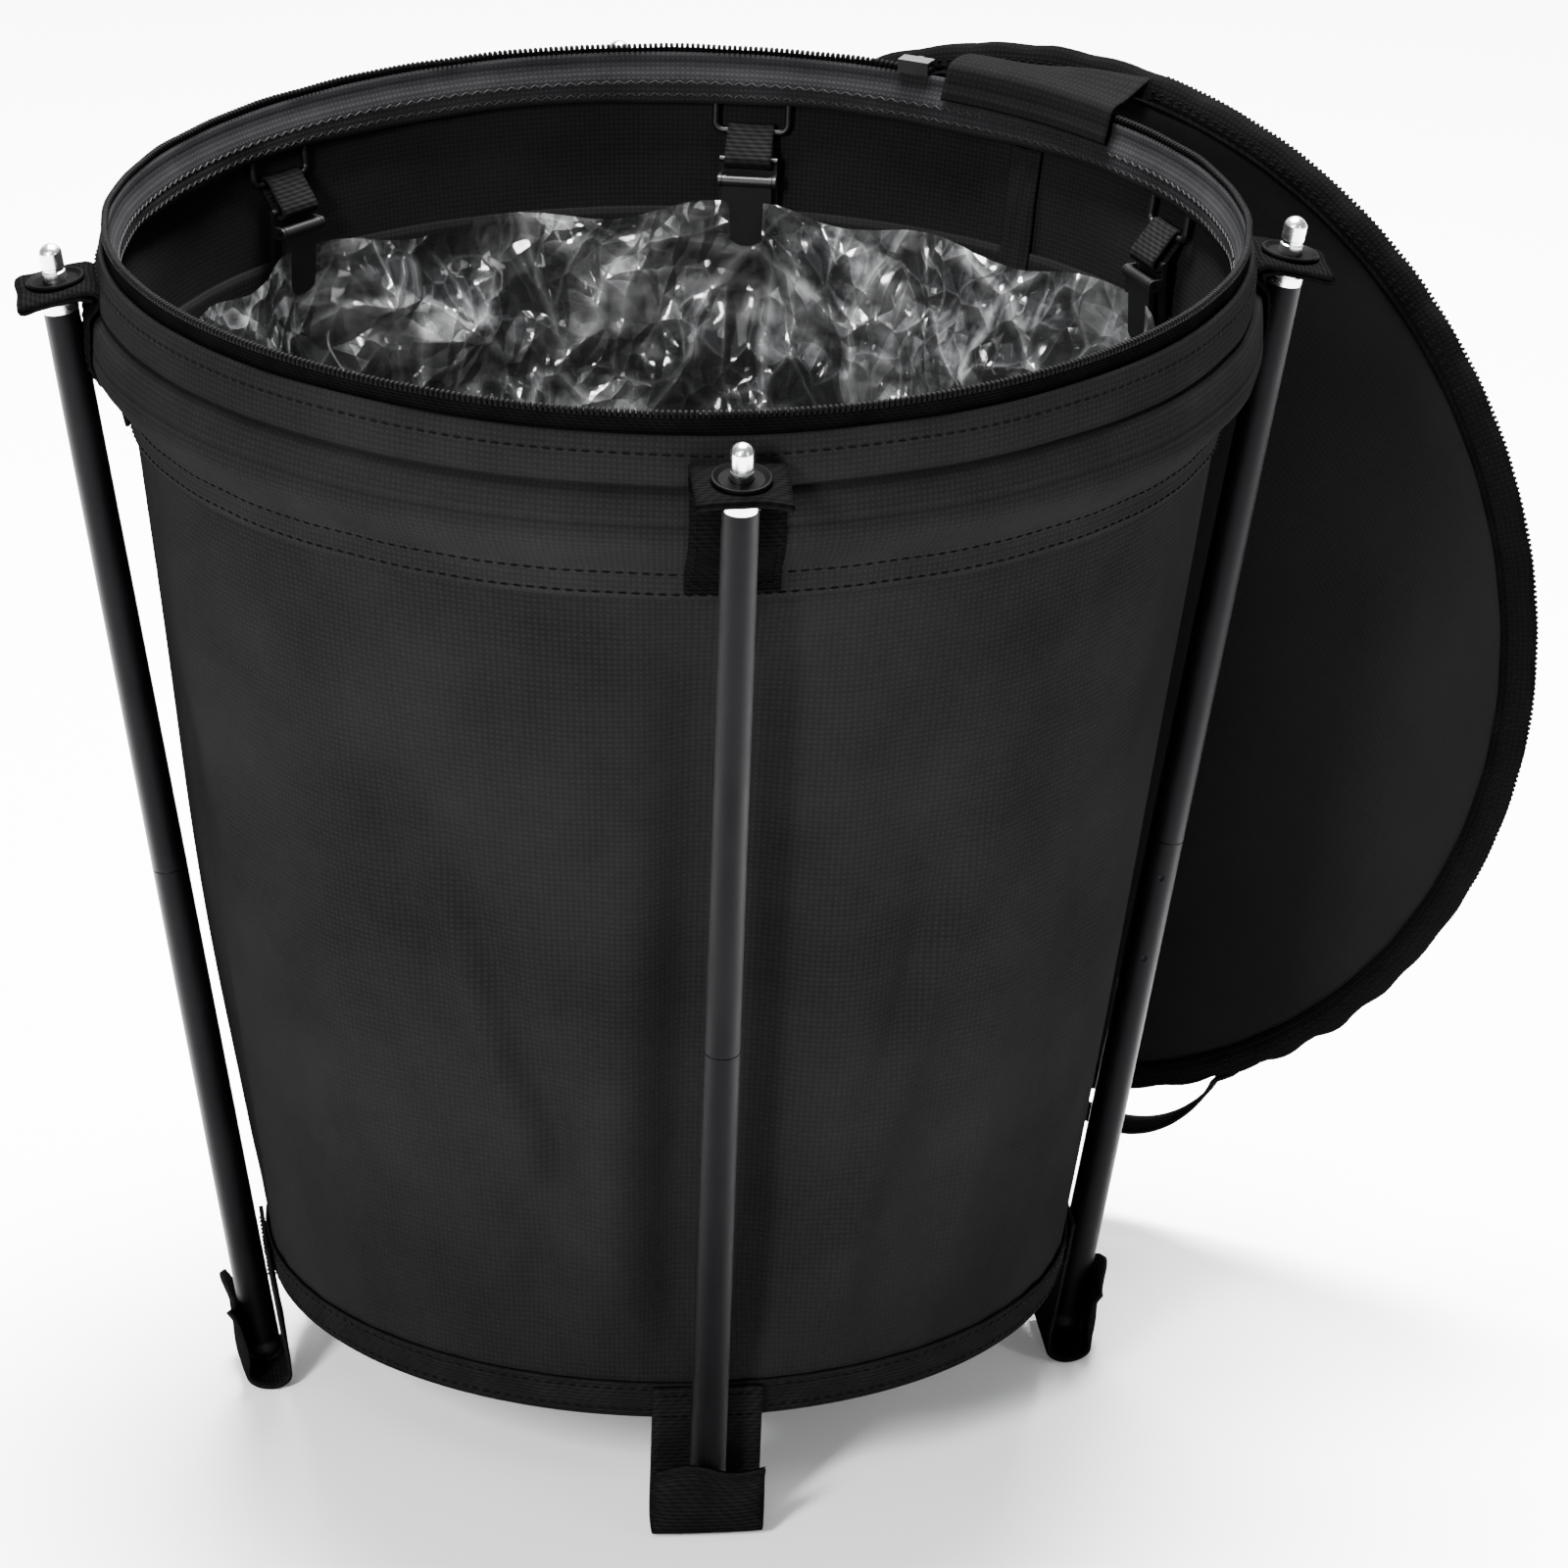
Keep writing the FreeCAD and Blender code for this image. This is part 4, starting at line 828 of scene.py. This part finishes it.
def lid():
    """Lid: a disc that sags by 1.2 times 1 - r^2, a round piping, and a band whose path is carried
    round, scalloped by the size of a sine between its gathers.
    """
    radius = LID_DISC - 0.6
    x, y = disc(radius, 97)
    share = (x * x + y * y) / radius ** 2
    lift = -1.2 * (1 - share) + 0.5 * np.sin(x / 31 + 1) * np.sin(y / 37) * (1 - share)
    lift = lift - 0.7 * smooth_step(share, 0.9, 1.0)
    piece = cloth("lid_top_cloth", hang(np.stack([x, y, LID_TOP - 0.9 + lift], -1)), 1.8, lid_cloth, "lid",
                  replaces=["lid_panel"], slot="panel_fabric")
    turn = np.linspace(0, 360, 16, endpoint=False)[:, None]
    lump = 1.45 + 0.1 * ripple(AROUND, 43)
    pipe = around(LID_DISC + 0.1 + lump * np.cos(np.radians(turn)), AROUND,
                  LID_TOP - 0.8 + lump * np.sin(np.radians(turn)))
    ring_of_cloth("lid_piping", hang(pipe), tape_cloth, "lid", slot="panel_fabric")
    path = np.array([(196.6, 437.2), (196.75, 438.6), (196.9, 440.2), (196.5, 441.6), (195.2, 442.6),
                     (193.2, 443.5), (191.2, 444.3), (189.9, 444.6), (188.4, 443.9), (186.8, 443.2)])
    scallop = np.abs(np.sin(np.radians(AROUND * 27 + 10 * ripple(AROUND, 3)))) - 0.6
    fine = ripple(AROUND, 41) * ripple(AROUND, 5)
    weight = bell(path[:, 1:] - 440, 2.6)
    radius = path[:, :1] + weight * (1.5 * scallop + 0.5 * fine)
    height = path[:, 1:] + 0.5 * fine * bell(path[:, :1] - 193, 2.5)
    piece = cloth("lid_band_cloth", hang(around(radius, AROUND, height)), 1.1, band_cloth_painted_shade, "lid",
                  closed_columns=True, replaces=["lid_band"], slot="collar_fabric")
    up = hang(around(0.5, AROUND, 1.0)) - hang(around(0.0, AROUND, 0.0))
    for number, (stand, level) in enumerate(((191.0, 444.95), (192.7, 444.3))):
        row = hang(around(stand, AROUND, level + 0.4 * fine))
        stitches("lid_stitches_%d" % number, row, up, 3.8, 2.5, 0.3, "lid")


def lid_handle():
    """Bow of webbing: its lift is 14 mm times a cosine to the power 0.8 across its span."""
    share = np.linspace(-1.25, 1.25, 60)
    bow = np.abs(np.cos(np.clip(share, -1, 1) * np.pi / 2)) ** 0.8
    radius = 197.0 + 0.8 + HANDLE_RISE * np.where(np.abs(share) < 1, bow, 0)
    azimuth = HANDLE_AZIMUTH + share * HANDLE_HALF
    across = np.linspace(-1, 1, 7)[:, None]
    lean = np.sin(np.pi * np.clip((share + 1.25) / 2.5, 0, 1))
    half = 2.2 + 3.4 * lean
    height = HANDLE_HEIGHT + across * half + 0.8 * lean
    points = around(radius + across * 1.2 * lean, azimuth + 0 * across, height)
    piece = cloth("lid_handle_webbing", hang(points), 1.5, strap_webbing, "lid",
                  replaces=["lid_handle"], slot="webbing")


def hinge_flap():
    """Hinge cloth: one grid from the facing inside the mouth, over the rim and across to the top of the
    hanging lid, on neither body; a smooth line through named points, carried sideways.
    """
    axis, base = hinge_line()
    slide = HINGE_RADIUS * math.tan(math.radians(HINGE_AZIMUTH - FLAP_AZIMUTH))
    middle = base + axis * slide
    out, hinge_out = around(1.0, FLAP_AZIMUTH, 0.0), around(1.0, HINGE_AZIMUTH, 0.0)
    along = np.array([out[1], -out[0], 0.0])
    across = np.linspace(-FLAP_WIDTH / 2, FLAP_WIDTH / 2, 45)
    inner = [(189.3, 421.0), (189.9, 423.5), (191.1, 426.4), (192.2, 430.0), (193.6, 433.0), (196.6, 434.4),
             (199.4, 434.9)]
    curve = across[:, None] ** 2 / (2 * FLAP_RIM)
    on_bin = np.stack([out * (radius - curve) + along * across[:, None] + np.array([0, 0, height])
                       for radius, height in inner])
    upward = np.cross(axis, hinge_out)
    upward = upward * np.sign(upward[2])
    lid_path = [(-12.6, -1.7), (-13.6, -0.8), (-15.0, -0.5), (-17.5, -0.45), (-20.5, -0.45)]
    on_lid = np.stack([hang(middle + axis * across[:, None] + hinge_out * x + upward * z)
                       for x, z in lid_path])
    frame_points = np.concatenate([on_bin, on_lid])
    run = lengths(frame_points, False)
    place = np.linspace(0, run[-1], 56)
    points = spline(frame_points, run, place)
    bridge = bell(place - run[7] + 2, 5.0)[:, None, None]
    points = points + np.array([0, 0, 1.0]) * bridge * (0.5 * np.sin(across / 8.0) - 0.4)[None, :, None]
    piece = cloth("flap_cloth_painted_shade", points, 0.7, flap_cloth_painted_shade, "bin",
                  replaces=["flap_on_collar", "flap_on_lid"], slot="flap_fabric")
    piece.parent = None
    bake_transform(piece)


# Clear bag

def crumple(u, v, smallest, largest, count, steep):
    """Creases of a film: folded waves |2 frac(x) - 1| along many directions, each as high as its
    length times steep, each faded in and out by slow waves; u repeats over its own length.
    """
    length = 2 * math.pi * FILM_RADIUS
    total = 0.0
    for _ in range(count):
        size = smallest * (largest / smallest) ** chance.uniform(0, 1)
        turn, phase = chance.uniform(0, math.pi), chance.uniform(0, 1, 3)
        across = round(length * math.cos(turn) / size) / length
        fold = np.abs(2 * ((across * u + math.sin(turn) / size * v + phase[0]) % 1) - 1)
        slow = 2 * math.pi * round(length / (size * 5)) / length
        fade = 0.5 + 0.5 * np.sin(slow * u + 7 * phase[1]) * np.sin(v / (size * 0.7) + 7 * phase[2])
        total = total + size * steep * fold * fade ** 1.5
    return total


def liner_bag():
    """Film that hangs from the jaws: the wall's radius less a clearance and crumples of three
    sizes, its lip in the jaws, and a floor that is closed at the middle.
    """
    columns, rows = 600, 128
    azimuth = np.linspace(0, 360, columns, endpoint=False)
    v = np.concatenate([np.linspace(0, 150, 98), np.linspace(156, 329, rows - 98)])[:, None]
    u = np.radians(azimuth)[None] * FILM_RADIUS + 0 * v
    warp_u, warp_v = u + 9 * np.sin(v / 23) + 5 * np.sin(u / 31), v + 8 * np.sin(u / 27) + 4 * np.sin(v / 11)
    creases = crumple(warp_u, warp_v, 60, 130, 9, 0.075) + crumple(warp_u, warp_v, 22, 55, 16, 0.1)
    creases = creases + crumple(u, v, 9, 20, 18, 0.075)
    for clip in CLIP_AZIMUTHS:
        aside, below = np.radians(angle_from(azimuth, clip))[None] * FILM_RADIUS, v + 14
        fan = np.arctan2(aside, below)
        creases = creases + 5.0 * np.abs(np.sin(5.5 * fan + clip)) * bell(np.hypot(aside, below) - 45, 42)
    creases = creases - creases.min()
    clips, between = (sum(bell(angle_from(azimuth, clip), width) for clip in CLIP_AZIMUTHS)[None]
                      for width in (6.0, 13.0))
    near = 1 - clips * (1 - smooth_step(v, 22, 60))
    droop = 9.0 * (1 - between) * (1 - smooth_step(v, 0, 60))
    height = FILM_TOP - v - 0.25 * np.clip(droop, 0, 9)
    height = np.maximum(height + 2.5 * np.sin(u / 13) * (1 - clips) * (1 - smooth_step(v, 0, 12)), FILM_FLOOR)
    lip = np.clip(wall_radius(np.minimum(height, COLLAR_BASE)) - 7.0, 0, FILM_LIP)
    wall = lip + np.minimum(drape(azimuth, height), 0) * smooth_step(v, 10, 50)
    inward = 1.2 + 0.62 * creases * smooth_step(v, -30, 45)
    radius = wall - (inward + 2.0 * (1 - between) * (1 - smooth_step(v, 10, 90))) * near
    radius = radius * near + (1 - near) * np.minimum(JAW_RADIUS, radius + 20)
    points = around(radius, azimuth, height)
    shrink = np.array([0.93, 0.8, 0.6, 0.4, 0.2, 0.05])[:, None]
    creases = crumple(u[:6] * shrink, 500 * shrink, 30, 60, 6, 0.02)
    base = around(radius[-1:] * shrink, azimuth, FILM_FLOOR - 0.2 + creases)
    points = np.concatenate([points, base])
    faces, corners = unrolled(points, False, True)[:2]
    piece = put("clear_bag_film", points, faces[:, ::-1], clear_film, "bin", corners[:, ::-1],
                replaces=["liner_bag"], slot="bag_film")


body_panel()
floor_panel()
hem_band()
collar()
mouth_facing()
seam_binding()
zip_side("body_zip", BODY_BEAD, [(195.4, 413.5), (195.4, 421.0), (195.4, 429.4)], "bin",
         as_drawn, rim_pull)
zip_side("lid_zip", LID_BEAD, [(195.4, 435.4), (195.5, 440.2), (192.6, 442.0), (190.4, 443.1)], "lid",
         hang, even_rim)
for pole_side, pole_azimuth in POLE_AZIMUTHS.items():
    tab(pole_side, pole_azimuth)
    bare_end(pole_side, pole_azimuth)
    pouch(pole_side, pole_azimuth)
for clip_number, clip_azimuth in enumerate(CLIP_AZIMUTHS, 1):
    clip_strap(clip_number, clip_azimuth)
lid()
lid_handle()
hinge_flap()
liner_bag()

# Finishes of the CAD pieces that stay
finishes = {
    "pole_upper": anodised, "pole_lower": anodised, "tip_pin": turned_aluminium,
    "pole_spigots": turned_aluminium, "pole_foot_caps": cap_plastic, "eyelets": blackened,
    "zip_slider": die_cast, "zip_pull": die_cast, "clip_rings": steel_wire, "clip_pins": steel_wire,
    "clip_back": clip_plastic, "clip_lever": clip_plastic, "top_hoop": steel_wire}
for node_name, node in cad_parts.items():
    for start, finish in finishes.items():
        if node_name.startswith(start):
            node.data.materials.clear()
            node.data.materials.append(finish)


# Floor, light and camera

def studio():
    """Pale floor that curves up behind as a quarter circle, four soft boxes and two strips; the
    world is pale.
    """
    turn = np.linspace(0, np.pi / 2, 12)[1:]
    depth = np.concatenate([np.linspace(-4.0, 3.0, 8), 3.0 + 1.5 * np.sin(turn), np.full(4, 4.5)])
    rise = np.concatenate([np.zeros(8), 1.5 - 1.5 * np.cos(turn), np.linspace(2.0, 6.0, 4)])
    across = np.linspace(-6, 6, 5)
    grid = np.stack(np.broadcast_arrays(across[None], depth[:, None], rise[:, None] - 0.0002), -1)
    material, tree = new_material("painted studio floor")
    surface = add(tree, "BsdfPrincipled", inputs={
        "Base Color": linear("#f6f6f6"), "Roughness": 0.9, "Specular IOR Level": 0.0,
        "Emission Color": linear("#f6f6f6"), "Emission Strength": 0.12})
    add(tree, "OutputMaterial", inputs={"Surface": surface})
    floor = show("studio_floor", surface_of(
        "studio_floor", grid * 1000, grid_faces(len(depth), len(across))[0], material))
    world = bpy.data.worlds.new("pale_room")
    world.use_nodes = True
    colour, strength = world.node_tree.nodes["Background"].inputs[:2]
    colour.default_value, strength.default_value = linear("#f4f5f6"), 0.42
    bpy.context.scene.world = world
    for name, place, target, size, power in (
            ("overhead_box", (0.0, 0.5, 2.3), (0, 0, 0.3), (1.2, 0.9), 800),
            ("left_box", (-1.15, -2.35, 1.45), (0, 0, 0.2), (0.4, 0.7), 165),
            ("front_box", (-0.5, -2.5, 2.6), (0, 0, 0.35), (1.5, 0.7), 34),
            ("left_strip", (-2.1, -1.3, 1.1), (0, 0, 0.3), (0.25, 1.4), 8),
            ("right_strip", (1.9, -1.7, 1.1), (0, 0, 0.3), (0.25, 1.4), 15),
            ("back_box", (0.5, 2.2, 2.2), (0, 0, 0.4), (2.0, 0.8), 90)):
        data = bpy.data.lights.new(name, "AREA")
        data.shape, data.size, data.size_y, data.energy = "RECTANGLE", size[0], size[1], power
        lamp = show(name, data)
        lamp.location = place
        lamp.rotation_euler = (Vector(target) - Vector(place)).to_track_quat("-Z", "Y").to_euler()


def camera():
    """Long lens 3.5 m away, 22 degrees above, rolled a little, aimed so that it needs no shift."""
    data = bpy.data.cameras.new("photo_camera")
    data.lens, data.sensor_width, data.clip_end = 228.06, 36.0, 60.0
    view = show("photo_camera", data)
    eye, target = Vector((0, -3.2404, 1.5219)), Vector((0.0397, 0.0079, 0.2183))
    forward = (target - eye).normalized()
    right = forward.cross(Vector((0, 0, 1))).normalized()
    up = right.cross(forward)
    roll = math.radians(0.864)
    side = right * math.cos(roll) + up * math.sin(roll)
    top = up * math.cos(roll) - right * math.sin(roll)
    view.matrix_world = Matrix.Translation(eye) @ Matrix((side, top, -forward)).transposed().to_4x4()
    bpy.context.scene.camera = view


studio()
camera()
